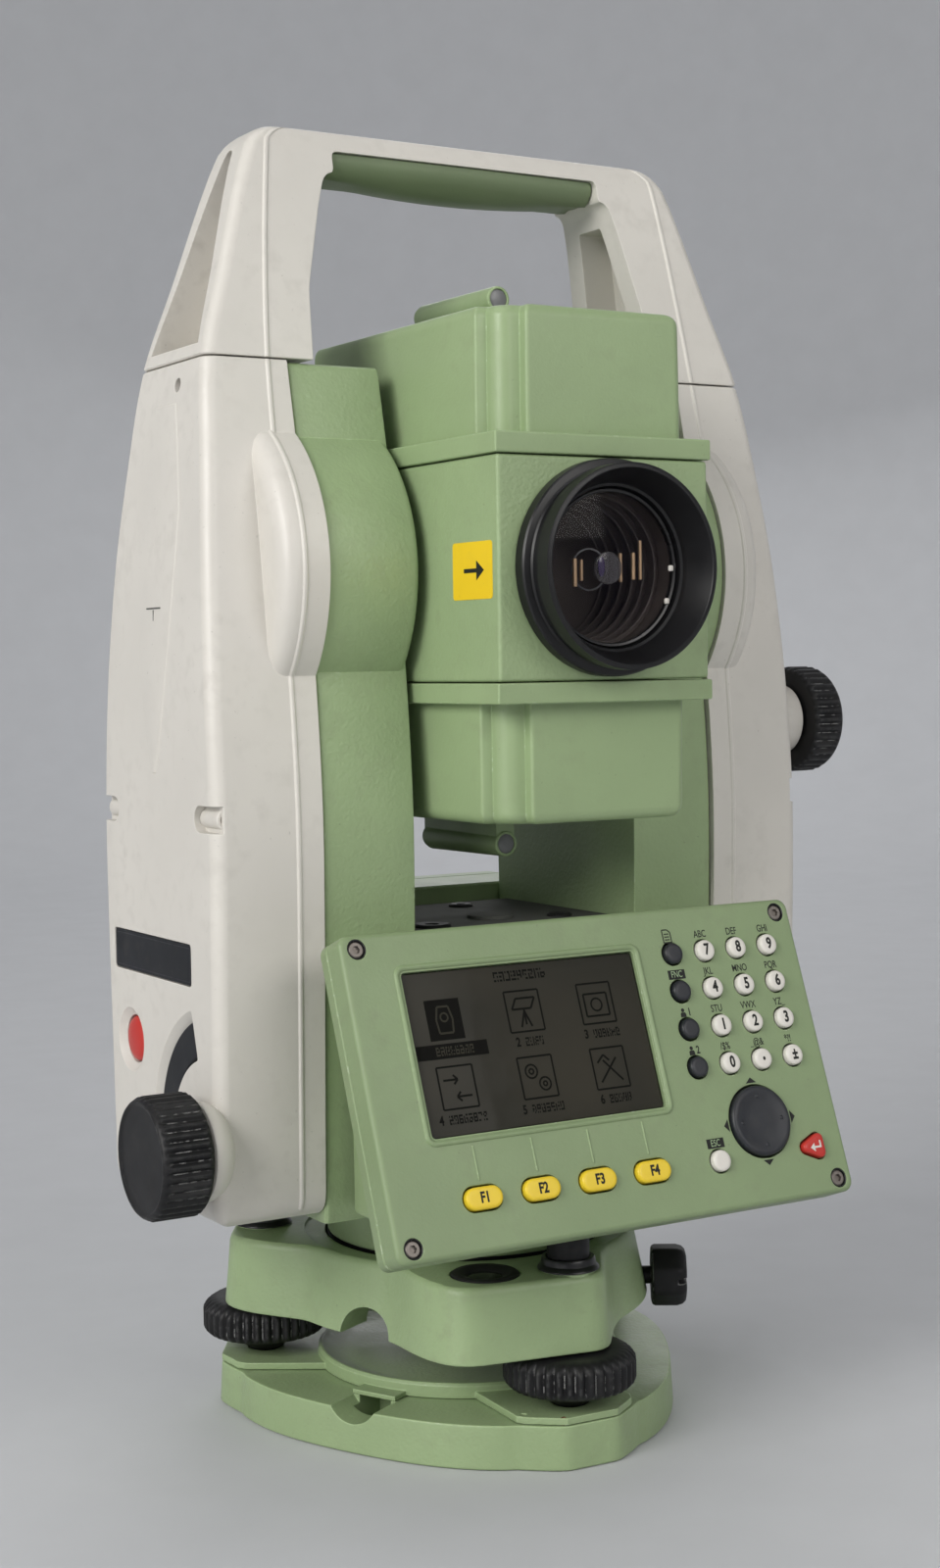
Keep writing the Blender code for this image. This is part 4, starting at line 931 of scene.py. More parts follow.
def pocket_tubes(name, side):
    """The screw tube that stands in each corner pocket, with its cross-head screw."""
    middle = sum(POCKET_Z) / 2
    tubes = []
    screws = []
    for sign in (-1, 1):
        y_out = smooth_at(FRONT_LINE, middle) - 1.4
        place = at((side * 90.4, sign * 26.0, middle), "Y" if sign > 0 else "-Y")
        length = y_out - 26.0
        tubes.append(turned("tube", [(0, length - 1.2), (1.7, length - 1.2), (1.9, length), (2.7, length),
                                     (2.9, length - 0.3), (2.9, 0), (0, 0)], place, 40))
        head = turned("head", [(0, length - 0.9), (1.3, length - 0.7), (1.7, length - 1.0),
                               (1.7, length - 1.3), (0, length - 1.3)], place, 32)
        screws.append(cut(head, *[box("cross", low, high, place) for low, high in
                                  (((-1, -0.25, length - 1.0), (1, 0.25, length)),
                                   ((-0.25, -1, length - 1.0), (0.25, 1, length)))]))
    piece(gather(name + "_tubes", tubes), "white", "alidade", "white")
    piece(gather(name + "_tube_screws", screws), "screw", "alidade", "metal")


def side_relief(name, side):
    """The slightly raised blade down the middle of a side cover."""
    rings = []
    for height in heights(186.0, 284.0, 2.0):
        share = (height - 186.0) / 98.0
        half = 13.5 * math.sin(min(share * 1.15, 1.0) * math.pi / 2) ** 0.75
        half = max(half * (1.0 - 0.55 * max(share - 0.7, 0.0) / 0.3), 0.4)
        x = smooth_at(SIDE_LINE, height)
        steps = ((-half - 1.2, -0.4), (-half - 0.6, 0.02), (-half, 0.3), (0.0, 0.38), (half, 0.3),
                 (half + 0.6, 0.02), (half + 1.2, -0.4))
        rings.append([(side * (x + rise), y, height) for y, rise in steps])
    piece(skin(name, rings), "white", "alidade", "white", sharp=60)


def left_cover():
    shell, core, bulge_core = cover_shell("left_shell", -1)
    boss = [(0, 99.2), (12.2, 99.2), (12.9, 98.8), (13.1, 98.0), (12.8, 96.4), (11.9, 94.6), (10.4, 93.0),
            (8.6, 92.0), (6.0, 91.4), (0, 91.2)]
    knob_place = at((0, *H_KNOB), "-X")
    join(shell, turned("knob_boss", boss, knob_place, 96))
    label = side_panel("label_recess", -1, NAME_PLATE, 1.2, 93.8, 100, GAP)
    inner, outer = TRIGGER_RADII
    start, end = TRIGGER_SPAN
    flare = []
    for x, grow in ((85.0, 0.0), (92.8, 0.0), (93.8, 0.9), (95.4, 3.0), (97.0, 5.0)):
        sector = ring_sector(inner - 0.4 - 0.3 * grow, outer + 0.4 + grow, start - 1 - grow, end + 1 + grow,
                             H_KNOB)
        flare.append([(y, z, -x) for y, z in soften(sector, 1.5, 4, closed=True)])
    slot = skin("trigger_slot", flare, SIDE_FRAME)
    power_place = at((0, *POWER_PLACE), "-X")
    power = turned("power_opening", [(0, 97), (11.2, 97), (9.2, 95.2), (8.0, 94.1), (POWER_R + 0.4, 93.3),
                                     (POWER_R + 0.4, 85), (0, 85)], power_place, 72)
    shaft = rod("shaft_bore", 5.4, 93.2, 120, knob_place)
    screw = rod("handle_screw_hole", 1.9, 84, 100, at(HANDLE_SCREW, "-X"), 32)
    cut(shell, core, bulge_core)
    cut(shell, label, slot, power, shaft, screw, *screw_pockets(-1))
    piece(shell, "white", "alidade", "white", "left_cover", sharp=28)
    side_details("left", -1)


def name_strip():
    """The black plate on the left cover, left blank."""
    strip = side_panel("name_strip", -1, NAME_PLATE, 1.0, 94.1, 94.7)
    piece(strip, "label", "alidade", "black", "name_plate")
    border = cut(side_panel("strip_border", -1, NAME_PLATE, 0.6, 94.6, 94.73, -0.8, 4),
                 side_panel("border_hole", -1, NAME_PLATE, 0.5, 94.0, 96.0, -1.0, 4))
    piece(border, "key_black", "alidade", "black")


def side_details(name, side):
    """Relief blade, tilting axis mark, corner screws and the handle's screw on one cover."""
    side_relief(name + "_blade", side)
    pocket_tubes(name, side)
    x = smooth_at(SIDE_LINE, TILT_Z - 9)
    across = (-4.6, 4.6, TILT_Z - 9.2, TILT_Z - 8.8)
    down = (-0.2, 0.2, TILT_Z - 13.5, TILT_Z - 9.4)
    marks = [side_panel("mark", side, across, 0.15, x - 1, x + 0.5, count=3),
             side_panel("mark", side, down, 0.15, x - 1.4, x + 0.55, count=3)]
    piece(gather(name + "_axis_mark", marks), "deck", "alidade", "white")
    place = at(HANDLE_SCREW, "X" if side > 0 else "-X")
    head = turned("head", [(0, 86.6), (1.0, 86.6), (1.5, 87.0), (1.75, 86.8), (1.75, 84), (0, 84)], place,
                  32)
    piece(gather(name + "_handle_screw", [head]), "screw", "alidade", "metal")


def right_cover():
    shell, core, bulge_core = cover_shell("right_shell", 1)
    boss = [(0, 103.1), (9.9, 103.1), (10.4, 102.7), (10.6, 97.6), (11.6, 94), (11.6, 88), (0, 88)]
    knob_place = at((0, *V_KNOB), "X")
    join(shell, turned("knob_boss", boss, knob_place, 96))
    cutters = [rod("shaft_bore", 5.4, 86, 120, knob_place),
               rod("screw_hole", 1.9, 84, 100, at(HANDLE_SCREW, "X"), 32)]
    for (y0, y1, z0, z1), below, radius in ((BATTERY_DOOR, 0.4, 2.4), (USB_LID, 1.3, 1.0)):
        outline = rounded_rectangle(y0 - 0.4, y1 + 0.4, z0 - below, z1 + 0.4, radius, 6)
        cutters.append(side_plate("opening", 1, outline, 85, 100))
    cut(shell, core, bulge_core)
    cut(shell, *cutters, *screw_pockets(1))
    piece(shell, "white", "alidade", "white", "right_cover", sharp=28)
    side_details("right", 1)


def battery_and_lid():
    y0, y1, z0, z1 = BATTERY_DOOR
    door = round_edges(side_panel("door_skin", 1, BATTERY_DOOR, 2.0, 92.2, 95.0, count=8), 0.6)
    hollow = [(-14, z1 - 18), (14, z1 - 18), (14, z1 - 8), (-14, z1 - 8)]
    hollow = soften(hollow, 4.0, 5, closed=True)
    line = (y0 + 5, y1 - 5, z0 + 6, z0 + 6.5)
    cut(door, side_plate("finger_hollow", 1, hollow, 93.6, 97),
        side_panel("panel_line", 1, line, 0.2, 94.6, 97, count=3))
    ribs = [side_panel("rib", 1, (-11, 11, z, z + 0.9), 0.4, 93.5, 94.5, count=3)
            for z in (z1 - 16.4, z1 - 14.4, z1 - 12.4, z1 - 10.4)]
    piece(join(door, *ribs), "white", "battery", "white", "battery_door")
    cell = round_edges(box("battery_pack", (65.0, y0 + 3, z0 + 2), (91.9, y1 - 3, z1 - 4)), 2.0)
    piece(cell, "black_matt", "battery", "black", "battery")
    contacts = [box("contact", (64.7, y, z0 + 8), (65.3, y + 3, z0 + 16)) for y in (-9, -3, 3)]
    piece(gather("battery_contacts", [round_edges(c, 0.2) for c in contacts]), "copper", "battery", "black")
    lid = round_edges(side_panel("lid_skin", 1, USB_LID, 2.0, 92.8, 95.0, count=8), 0.5)
    place = at((0, 16, USB_LID[3] - 3.5), "X")
    notch = turned("lid_hollow", [(0, 97), (4.2, 97), (3.4, 94.4), (0, 94.2)], place, 48)
    piece(cut(lid, notch), "white", "usb_lid", "white", "usb_lid")


def drive_knob(name, place, axis, back):
    """A ribbed knob with a smooth raised rim and a flat face."""
    face = KNOB_FACE
    profile = [(0, face - 0.5), (13.4, face - 0.5), (13.9, face - 0.35), (14.3, face), (14.8, face - 0.05),
               (15.3, face - 0.6), (15.7, face - 1.3, 0.25), (KNOB_R, face - 1.9, 0.8),
               (KNOB_R, face - 3.0, 0.95), (KNOB_R, back + 1.8, 0.95), (KNOB_R - 0.1, back + 1.1, 0.6),
               (KNOB_R - 0.9, back + 0.3, 0.0), (KNOB_R - 1.6, back, 0.0), (5.0, back), (5.0, 93.4),
               (0, 93.4)]
    knob = turned(name + "_grip", profile, at((0, *place), axis), ribs=36)
    piece(knob, "black", name, "black", name, sharp=50)
    collar = [(5.6, back - 0.6), (8.6, back - 0.6), (8.6, back - 0.15), (5.6, back - 0.15)]
    ring = turned(name + "_washer", collar, at((0, *place), axis), 64, closed=True)
    piece(ring, "black_matt", name, "black")


def side_keys():
    place = at((0, *POWER_PLACE), "-X")
    profile = [(0, 94.45), (2.5, 94.35), (4.4, 94.05), (5.6, 93.6), (POWER_R - 0.1, 92.9), (POWER_R, 92.4),
               (POWER_R, 88.0), (0, 88.0)]
    piece(turned("power_button", profile, place, 72), "key_red", "power_key", "key_red", "power_key",
          sharp=60)
    sector = ring_sector(*TRIGGER_RADII, *TRIGGER_SPAN, H_KNOB)
    key = side_plate("trigger_button", -1, soften(sector, 1.3, 4, closed=True), 88.0, 94.0)
    piece(round_edges(key, 0.7), "label", "trigger_key", "black", "trigger_key")


def handle_ring(z, inset):
    """Section of the handle with its raised bead."""
    x, y = smooth_at(SIDE_LINE, z) - inset * 1.3, smooth_at(FRONT_LINE, z) - inset * 0.55
    line = min(smooth_at(BEAD_LINE, z), x - 4.6)
    radius = 3.2
    proud = BEAD_PROUD if inset < 5 else 0.15
    right = bead(line, y, proud)
    front = [(-px, -py) for px, py in right[::-1]] + [(px, -py) for px, py in right]
    back = [(px, py) for px, py in right[::-1]] + [(-px, py) for px, py in right]
    points = front + arc(x - radius, -y + radius, radius, -90, 0, 8) + arc(x - radius, y - radius, radius,
                                                                           0, 90, 8)
    points += back + arc(-x + radius, y - radius, radius, 90, 180, 8)
    points += arc(-x + radius, -y + radius, radius, 180, 270, 8)
    return [(px, py, z) for px, py in points]


def leg_recess(side, outline, x_low, x_high):
    """A recess in a handle leg, sheared to follow the leg's lean."""
    middle_x, lean = 71.8, -0.24
    recess = side_plate("leg_recess", side, outline, x_low, x_high)
    for vert in recess.data.vertices:
        vert.co.x += side * (middle_x * MM + lean * (vert.co.z - COVER_TOP * MM))
    return recess


def handle():
    levels = [(COVER_TOP + 0.5, 0.4), (COVER_TOP + 1.0, 0.0)] + [(z, 0.0) for z in heights(300, 345, 4.5)]
    levels += [(348, 0.0), (351, 0.1), (353.6, 0.25), (355.6, 0.8), (357.2, 1.6), (358.4, 2.6),
               (359.2, 3.9), (HANDLE_TOP, 5.8)]
    body = skin("handle_shell", [handle_ring(z, inset) for z, inset in levels])
    half = [(56.5, 280), (54.6, 315), (49.2, 338), (47.0, 345.5), (45.4, 347.4), (43.4, 347.8),
            (43.4, 353.8)]
    line = half + [(-x, z) for x, z in reversed(half)]
    cutters = [plate("hand_space", soften(line, 2.0, 4, closed=True), -60, 60, AXIS_TURN["-Y"])]
    outer = [(-15.6, 299.0), (15.6, 299.0)] + arc(0, 351.0, 2.4, 15, 165, 12)
    inner = soften([(-13.2, 299.0), (13.2, 299.0), (5.6, 341.5), (-5.6, 341.5)], 0.8, 3, closed=True)
    for side in (-1, 1):
        cutters += [leg_recess(side, outer, 1.6, 40.0), leg_recess(side, inner, -40.0, -1.6)]
    piece(cut(body, *cutters), "white", "alidade", "white", "carrying_handle", sharp=28)


def grip():
    """Soft grip under the handle's bar, thickest in the middle."""
    rings = []
    for x in heights(-43.0, 43.0, 2.0):
        share = abs(x) / 43.0
        low = 344.9 + 2.6 * share ** 2
        half = 9.7 - 0.5 * share ** 2
        ease = max(share - 0.97, 0) * 20
        ring = [(half, 353.6), (half + 0.15, 351.8), (half - 0.3, 350.2), (half - 1.6, 348.4),
                (half - 3.6, 346.9 + 0.1), (half - 6.0, low + 0.25), (0, low)]
        ring += [(-y, z) for y, z in ring[-2::-1]]
        rings.append([(x, y * (1 - ease * 0.06), z + ease * 0.3 * (353.6 - z) / 7) for y, z in ring])
    piece(skin("soft_grip", rings), "grip", "alidade", "grip", "handle_grip", sharp=60)


def deck():
    """Grey plate in the gap under the telescope, with a level and caps."""
    floor = round_edges(box("deck_plate", (-35.4, -31.0, DECK_Z + 0.05), (35.4, 31.0, DECK_Z + 0.9)), 0.3)
    piece(floor, "deck", "alidade", "green")
    caps = []
    for x, y, radius in ((-21, -20, 5.2), (-19, 12, 3.6), (12, 20, 3.6), (22, -19, 3.6)):
        caps.append(turned("cap", [(0, 1.3), (radius * 0.35, 1.3), (radius * 0.4, 1.7), (radius - 0.6, 1.8),
                                   (radius, 1.4), (radius, 0.5), (0, 0.5)], at((x, y, DECK_Z)), 48))
    piece(gather("deck_caps", caps), "black_matt", "alidade", "black")
    vial = [(0, 2.0), (6.2, 1.9), (6.6, 1.7), (6.6, 0.5), (0, 0.5)]
    piece(turned("deck_dial", vial, at((4, -10, DECK_Z)), 64), "deck", "alidade", "metal")


def rear_case():
    """Housing behind the standards, opposite the keyboard."""
    rings = []
    for y, inset in ((38.4, 0.6), (39.0, 0.0), (62.0, 0.0), (62.3, 0.35), (63.0, 0.35), (63.3, 0.0),
                     (70.0, 0.0), (71.6, 0.5), (72.6, 1.5), (73.0, 2.8)):
        outline = rounded_rectangle(-57 + inset, 57 - inset, 72 + inset, 145.5 - inset, 5.0 - inset * 0.5,
                                    8)
        rings.append([(x, y, z) for x, z in outline])
    case = skin("rear_case", rings)
    panel = plate("rear_recess", rounded_rectangle(-44, 44, 82, 135.5, 3.0, 8), -80.0, -72.2,
                  AXIS_TURN["-Y"])
    piece(cut(case, panel), "green_plastic", "alidade", "green_plastic", "rear_housing")
    outline = rounded_rectangle(-43.6, 43.6, 82.4, 135.1, 2.7, 8)
    insert = round_edges(plate("rear_insert", outline, -72.75, -72.0, AXIS_TURN["-Y"]), 0.25)
    piece(insert, "green_plastic", "alidade", "green_plastic")
    heads = []
    for x in (-50.5, 50.5):
        for z in (78.5, 139.0):
            heads.append(socket_screw(at((x, 0, z), "Y") @ Matrix.Translation((0, 0, 73.05)), 2.0))
    piece(gather("rear_screws", heads), "screw", "alidade", "metal")


def socket_screw(where, radius):
    """Head of a small screw with a six-sided socket; its face is at local zero."""
    head = turned("head", [(0, 0.05), (radius - 0.35, 0.05), (radius, -0.2), (radius, -1.2), (0, -1.2)],
                  where, 40)
    socket = turned("socket", [(0, 1), (radius * 0.5, 1), (radius * 0.5, -0.8), (0, -0.9)], where, 6)
    return cut(head, socket)


# ---------------------------------------------------------------- keyboard

def keyboard_frame():
    """Placement of the keyboard plane: u, v and w as its X, Y and Z."""
    return Matrix.Translation(KEYBOARD_CENTRE) @ Matrix.Rotation(math.radians(90 - KEYBOARD_TILT), 4, "X")


BOARD = keyboard_frame()


def on_board(u, v, w=0.0):
    return BOARD @ Matrix.Translation((u, v, w))


def row_v(row):
    return KEY_V0 - row * KEY_PITCH_V


def column_u(column):
    return KEY_U0 + (column + 1) * KEY_PITCH_U


def stadium(radius, half=2.5):
    return arc(half, 0, radius, -90, 90, 12) + arc(-half, 0, radius, 90, 270, 12)


def enter_outline(radius, count=6):
    """A rounded triangle that points to the left."""
    return (arc(1.6, -1.8, radius, -113, 0, count) + arc(1.6, 1.8, radius, 0, 113, count)
            + arc(-2.5, 0, radius, 113, 247, count))


def circle(radius, count=48):
    return arc(0, 0, radius, 0, 360 - 360 / count, count)


def key_places():
    """name: (u, v, outline function, radius)"""
    places = {}
    digits = (("7", "8", "9"), ("4", "5", "6"), ("1", "2", "3"), ("0", "point", "sign"))
    for row, names in enumerate(digits):
        places["key_side_%d" % (row + 1)] = (KEY_U0, row_v(row), circle, KEY_R)
        for column, digit in enumerate(names):
            places["key_" + digit] = (column_u(column), row_v(row), circle, KEY_R)
    for i in range(4):
        places["key_f%d" % (i + 1)] = (F_KEY_U + i * F_KEY_PITCH, F_KEY_V, stadium, KEY_R)
    places["key_nav"] = (*NAV_PLACE, circle, NAV_R)
    places["key_esc"] = (*ESC_PLACE, circle, KEY_R)
    places["key_enter"] = (*ENTER_PLACE, enter_outline, 1.55)
    return places


KEYS = key_places()
KEY_WORDS = {"key_point": ".", "key_sign": "±", "key_f1": "F1", "key_f2": "F2", "key_f3": "F3",
             "key_f4": "F4"}
BOXED_WORDS = {"FNC": (KEY_U0, KEY_V0 - KEY_PITCH_V + 4.7), "ESC": (ESC_PLACE[0] - 0.2, ESC_PLACE[1] + 4.8)}
LEGENDS = (("ABC", "DEF", "GHI"), ("JKL", "MNO", "PQR"), ("STU", "VWX", "YZ_"), ("/$%", "_@&", "*?!"))


def key_material(name):
    if name == "key_enter":
        return "key_red", "key_red"
    if name.startswith("key_f"):
        return "key_yellow", "key_yellow"
    if name == "key_nav" or "side" in name:
        return "key_black", "black"
    return "key_white", "key_white"


def keys():
    for name, (u, v, outline, radius) in KEYS.items():
        place = on_board(u, v)
        if name == "key_nav":
            levels = [(-KEY_DEPTH, 0), (0.5, 0), (1.0, 0.12), (1.3, 0.5), (1.42, 1.0), (1.36, 1.7),
                      (1.15, 3.4), (0.95, 6.0)]
        else:
            levels = [(-KEY_DEPTH, 0), (0.6, 0), (1.0, 0.06), (1.25, 0.25), (1.38, 0.6), (1.42, 1.2)]
        rings = [[(x, y, w) for x, y in outline(radius - inset)] for w, inset in levels]
        material, slot = key_material(name)
        cap = skin(name + "_cap", rings, place)
        piece(cap, material, name, slot, name, sharp=50)
        words = KEY_WORDS.get(name, name[-1] if name[-1].isdigit() and "side" not in name else "")
        if words:
            size = 5.6 if words == "." else 4.3 if material == "key_white" else 3.8
            rise = 1.3 if words == "." else 0.0
            spot = place @ Matrix.Translation((0, rise, 1.44))
            piece(lettering(name + "_mark", words, size, spot, 0.78, 0.034), "ink", name, slot)


def key_marks():
    """Four pips on the round key, and the arrow on the enter key."""
    place = on_board(*NAV_PLACE)
    pips = []
    for turn in range(4):
        spot = (6.6 * math.cos(turn * math.pi / 2), 6.6 * math.sin(turn * math.pi / 2), 1.0)
        pips.append(turned("pip", [(0, 0.5), (0.35, 0.44), (0.6, 0.2), (0.6, -0.2), (0, -0.2)],
                           place @ Matrix.Translation(spot), 20))
    piece(gather("key_nav_pips", pips), "key_black", "key_nav", "black")
    arrow = [stroke((1.5, 1.3), (1.5, -0.4), 0.55), stroke((1.77, -0.4), (-0.6, -0.4), 0.55),
             [(-2.0, -0.4), (-0.5, 0.8), (-0.5, -1.6)]]
    place = on_board(*ENTER_PLACE)
    piece(flat("key_enter_mark", arrow, 1.46, place), "ink_white", "key_enter", "key_red")


def stroke(first, second, width):
    """A straight line drawn as a four-sided figure."""
    a, b = Vector(first), Vector(second)
    along = (b - a).normalized()
    across = Vector((-along.y, along.x)) * width / 2
    return [tuple(a - across), tuple(b - across), tuple(b + across), tuple(a + across)]


def path(points, width, closed=False):
    pairs = list(zip(points, points[1:]))
    if closed:
        pairs.append((points[-1], points[0]))
    return [stroke(a, b, width) for a, b in pairs]


def flat(name, figures, height, where):
    """Flat figures a hair apart in height, facing local +Z."""
    bm = bmesh.new()
    for i, figure in enumerate(figures):
        area = sum(a[0] * b[1] - b[0] * a[1] for a, b in zip(figure, figure[1:] + figure[:1]))
        points = figure if area > 0 else figure[::-1]
        bm.faces.new([bm.verts.new((x, y, height + 0.002 * (i % 5))) for x, y in points])
    mesh = mesh_from(name, bm)
    mesh.transform(Matrix.Scale(MM, 4) @ where)
    return linked(name, mesh)


def oblong(u, v, width, height):
    return [(u - width / 2, v - height / 2), (u + width / 2, v - height / 2),
            (u + width / 2, v + height / 2), (u - width / 2, v + height / 2)]


def panel_casting():
    rings = []
    levels = [(-PANEL_T, 1.2), (-PANEL_T + 0.5, 0.4), (-PANEL_T + 1.2, 0.0), (-7.6, 0.0), (-7.45, 0.3),
              (-7.1, 0.3), (-6.95, 0.0), (-1.4, 0.0), (-0.8, 0.12), (-0.4, 0.4), (-0.1, 0.8), (0.0, 1.3)]
    for w, inset in levels:
        outline = rounded_rectangle(-PANEL_U + inset, PANEL_U - inset, -PANEL_V + inset, PANEL_V - inset,
                                    3.0 - inset * 0.8, 12)
        rings.append([(x, y, w) for x, y in outline])
    panel = skin("keyboard_casting", rings, BOARD)
    left, right, bottom, top = WINDOW
    window = rounded_rectangle(left, right, bottom, top, 1.2, 6)
    cutters = [plate("window_recess", window, -3.0, OVERSHOOT, BOARD)]
    for name, (u, v, outline, radius) in KEYS.items():
        well = [(x, y, -KEY_POCKET) for x, y in outline(radius + 0.4)]
        mouth = [(x, y, 0.0) for x, y in outline(radius + 0.45)]
        wide = [(x, y, OVERSHOOT) for x, y in outline(radius + 3.0)]
        cutters.append(skin(name + "_well", [well, mouth, wide], on_board(u, v, -0.25)))
    for u, v in PANEL_SCREWS:
        cutters.append(rod("screw_seat", 2.7, -2.2, OVERSHOOT, on_board(u, v)))
    piece(cut(panel, *cutters), "shaded_panel_plastic", "alidade", "green_plastic", "keyboard_panel")


def window_frame():
    """The rounded frame round the display, and the ridges between it and the F keys."""
    left, right, bottom, top = WINDOW
    bezel = []
    for grow, w in ((2.1, -0.2), (1.9, 0.25), (1.5, 0.5), (1.0, 0.5), (0.45, 0.1), (0.0, -1.3), (0.0, -2.6),
                    (2.1, -2.6)):
        outline = rounded_rectangle(left - grow, right + grow, bottom - grow, top + grow, 1.2 + grow * 0.8,
                                    8)
        bezel.append([(x, y, w) for x, y in outline])
    piece(skin("window_bezel", bezel, BOARD, closed=True), "shaded_panel_plastic", "alidade", "green_plastic",
          sharp=60)
    ridges = []
    for i in range(4):
        u = F_KEY_U + i * F_KEY_PITCH
        section = [(-0.32, -0.1), (-0.2, 0.16), (0, 0.24), (0.2, 0.16), (0.32, -0.1)]
        rings = [[(u + x, v, w) for x, w in section] for v in (-23.6, -23.4, -15.2, -15.0)]
        ridges.append(skin("ridge", rings, BOARD))
    piece(gather("window_ridges", ridges), "shaded_panel_plastic", "alidade", "green_plastic", sharp=60)


def panel_screws():
    heads = []
    rims = []
    rim = [(2.3, 0.15), (2.6, 0.25), (2.7, 0.15), (2.7, -1.6), (2.3, -1.6)]
    for u, v in PANEL_SCREWS:
        place = on_board(u, v, -0.35)
        heads.append(socket_screw(place, 2.15))
        rims.append(turned("rim", rim, place, 48, closed=True))
    piece(gather("keyboard_screws", heads), "screw", "alidade", "metal")
    piece(gather("keyboard_screw_rims", rims), "black_gloss", "alidade", "metal")


def panel_letters():
    words = []
    for row, names in enumerate(LEGENDS):
        for column, name in enumerate(names):
            place = on_board(column_u(column) - 0.2, row_v(row) + 4.75, 0.02)
            words.append(lettering("legend", name, 2.85, place, 0.76, 0.008, 0.015))
    for row, digit in ((2, "1"), (3, "2")):
        place = on_board(KEY_U0 + 1.4, row_v(row) + 4.6, 0.02)
        words.append(lettering("legend", digit, 3.0, place, 0.8, 0.02, 0.015))
    piece(gather("panel_letters", words), "ink", "alidade", "green_plastic")


def panel_figures():
    """Small drawings beside the keys, and the two boxed words."""
    figures = []
    for row in (2, 3):
        v = row_v(row) + 4.4
        figures.append([(KEY_U0 - 0.7 + x, v + 0.9 + y) for x, y in circle(0.55, 16)])
        figures.append([(KEY_U0 - 1.6, v - 1.0), (KEY_U0 + 0.2, v - 1.0), (KEY_U0 + 0.2, v - 0.1),
                        (KEY_U0 - 0.1, v + 0.3), (KEY_U0 - 1.3, v + 0.3), (KEY_U0 - 1.6, v - 0.1)])
    u, v = KEY_U0 - 0.5, KEY_V0 + 5.0
    figures += path([(u - 1.3, v - 1.8), (u + 1.3, v - 1.8), (u + 1.3, v + 1.0), (u + 0.4, v + 1.8),
                     (u - 1.3, v + 1.8)],
                    0.36, True)
    figures += [stroke((u - 0.8, v + y), (u + 0.8, v + y), 0.32) for y in (-1.0, -0.2, 0.6)]
    figures += [oblong(*spot, 5.6, 2.6) for spot in BOXED_WORDS.values()]
    u, v = NAV_PLACE
    for turn in range(4):
        cosine, sine = math.cos(turn * math.pi / 2), math.sin(turn * math.pi / 2)
        figures.append([(u + (10.5 + x) * cosine - y * sine, v + (10.5 + x) * sine + y * cosine)
                        for x, y in ((1.55, 0.0), (0.0, 1.75), (0.0, -1.75))])
    piece(flat("panel_figures", figures, 0.02, BOARD), "ink", "alidade", "green_plastic")
    boxed = []
    for word, spot in BOXED_WORDS.items():
        boxed.append(lettering("boxed", word, 2.6, on_board(*spot, 0.05), 0.74, 0.0, 0.01))
    piece(gather("panel_boxed_letters", boxed), "ink_green", "alidade", "green_plastic")


def pixel_words(u, v, letters, width=1.42, height=2.3):
    """A line of made-up pixel characters, centred on (u, v)."""
    cells = []
    dot_u, dot_v = width / 5, height / 5
    for letter in range(letters):
        left = u + (letter - letters / 2) * width
        for column in range(4):
            for row in range(5):
                if column in (0, 3) and random.random() < 0.62 or row in (0, 2,
                                                                          4) and random.random() < 0.6:
                    spot = (left + column * dot_u, v + (row - 2) * dot_v)
                    cells.append(oblong(*spot, dot_u * 1.04, dot_v * 1.04))
    return cells


def display():
    left, right, bottom, top = WINDOW
    slab = box("display_slab", (left + GAP, bottom + GAP, -2.7), (right - GAP, top - GAP, -1.2), BOARD)
    piece(round_edges(slab, 0.1), "display", "alidade", "display", "display_window")
    wide, tall = right - left, top - bottom
    columns = [left + wide * share for share in (0.15, 0.485, 0.80)]
    rows = [top - tall * share for share in (0.30, 0.71)]
    figures = [oblong(columns[0], rows[0], 10.2, 10.6), oblong(columns[0] + 0.6, rows[0] - 8.1, 21.0, 3.8)]
    pale = []
    words = []
    lengths = (8, 4, 6, 8, 7, 5)
    for row, v in enumerate(rows):
        for column, u in enumerate(columns):
            number = row * 3 + column
            first = number == 0
            if not first:
                figures += path(oblong(u, v, 10.4, 10.8), 0.5, True)
            shapes = glyph(number, u, v) + pixel_words(u + 1.6, v - 8.1, lengths[number])
            (pale if first else figures).extend(shapes)
            start = u + 1.6 - lengths[number] * 0.71 - 2.4
            place = on_board(start, v - 8.1, -1.16)
            words.append(lettering("number", str(number + 1), 3.3, place, 0.8, 0.03, 0.004))
    figures += pixel_words((left + right) / 2, top - 3.2, 9, 1.8, 2.6)
    piece(flat("display_figures", figures, -1.19, BOARD), "pixels", "alidade", "display")
    piece(flat("display_light_figures", pale, -1.175, BOARD), "pixels_pale", "alidade", "display")
    piece(gather("display_numbers", words), "pixels", "alidade", "display")


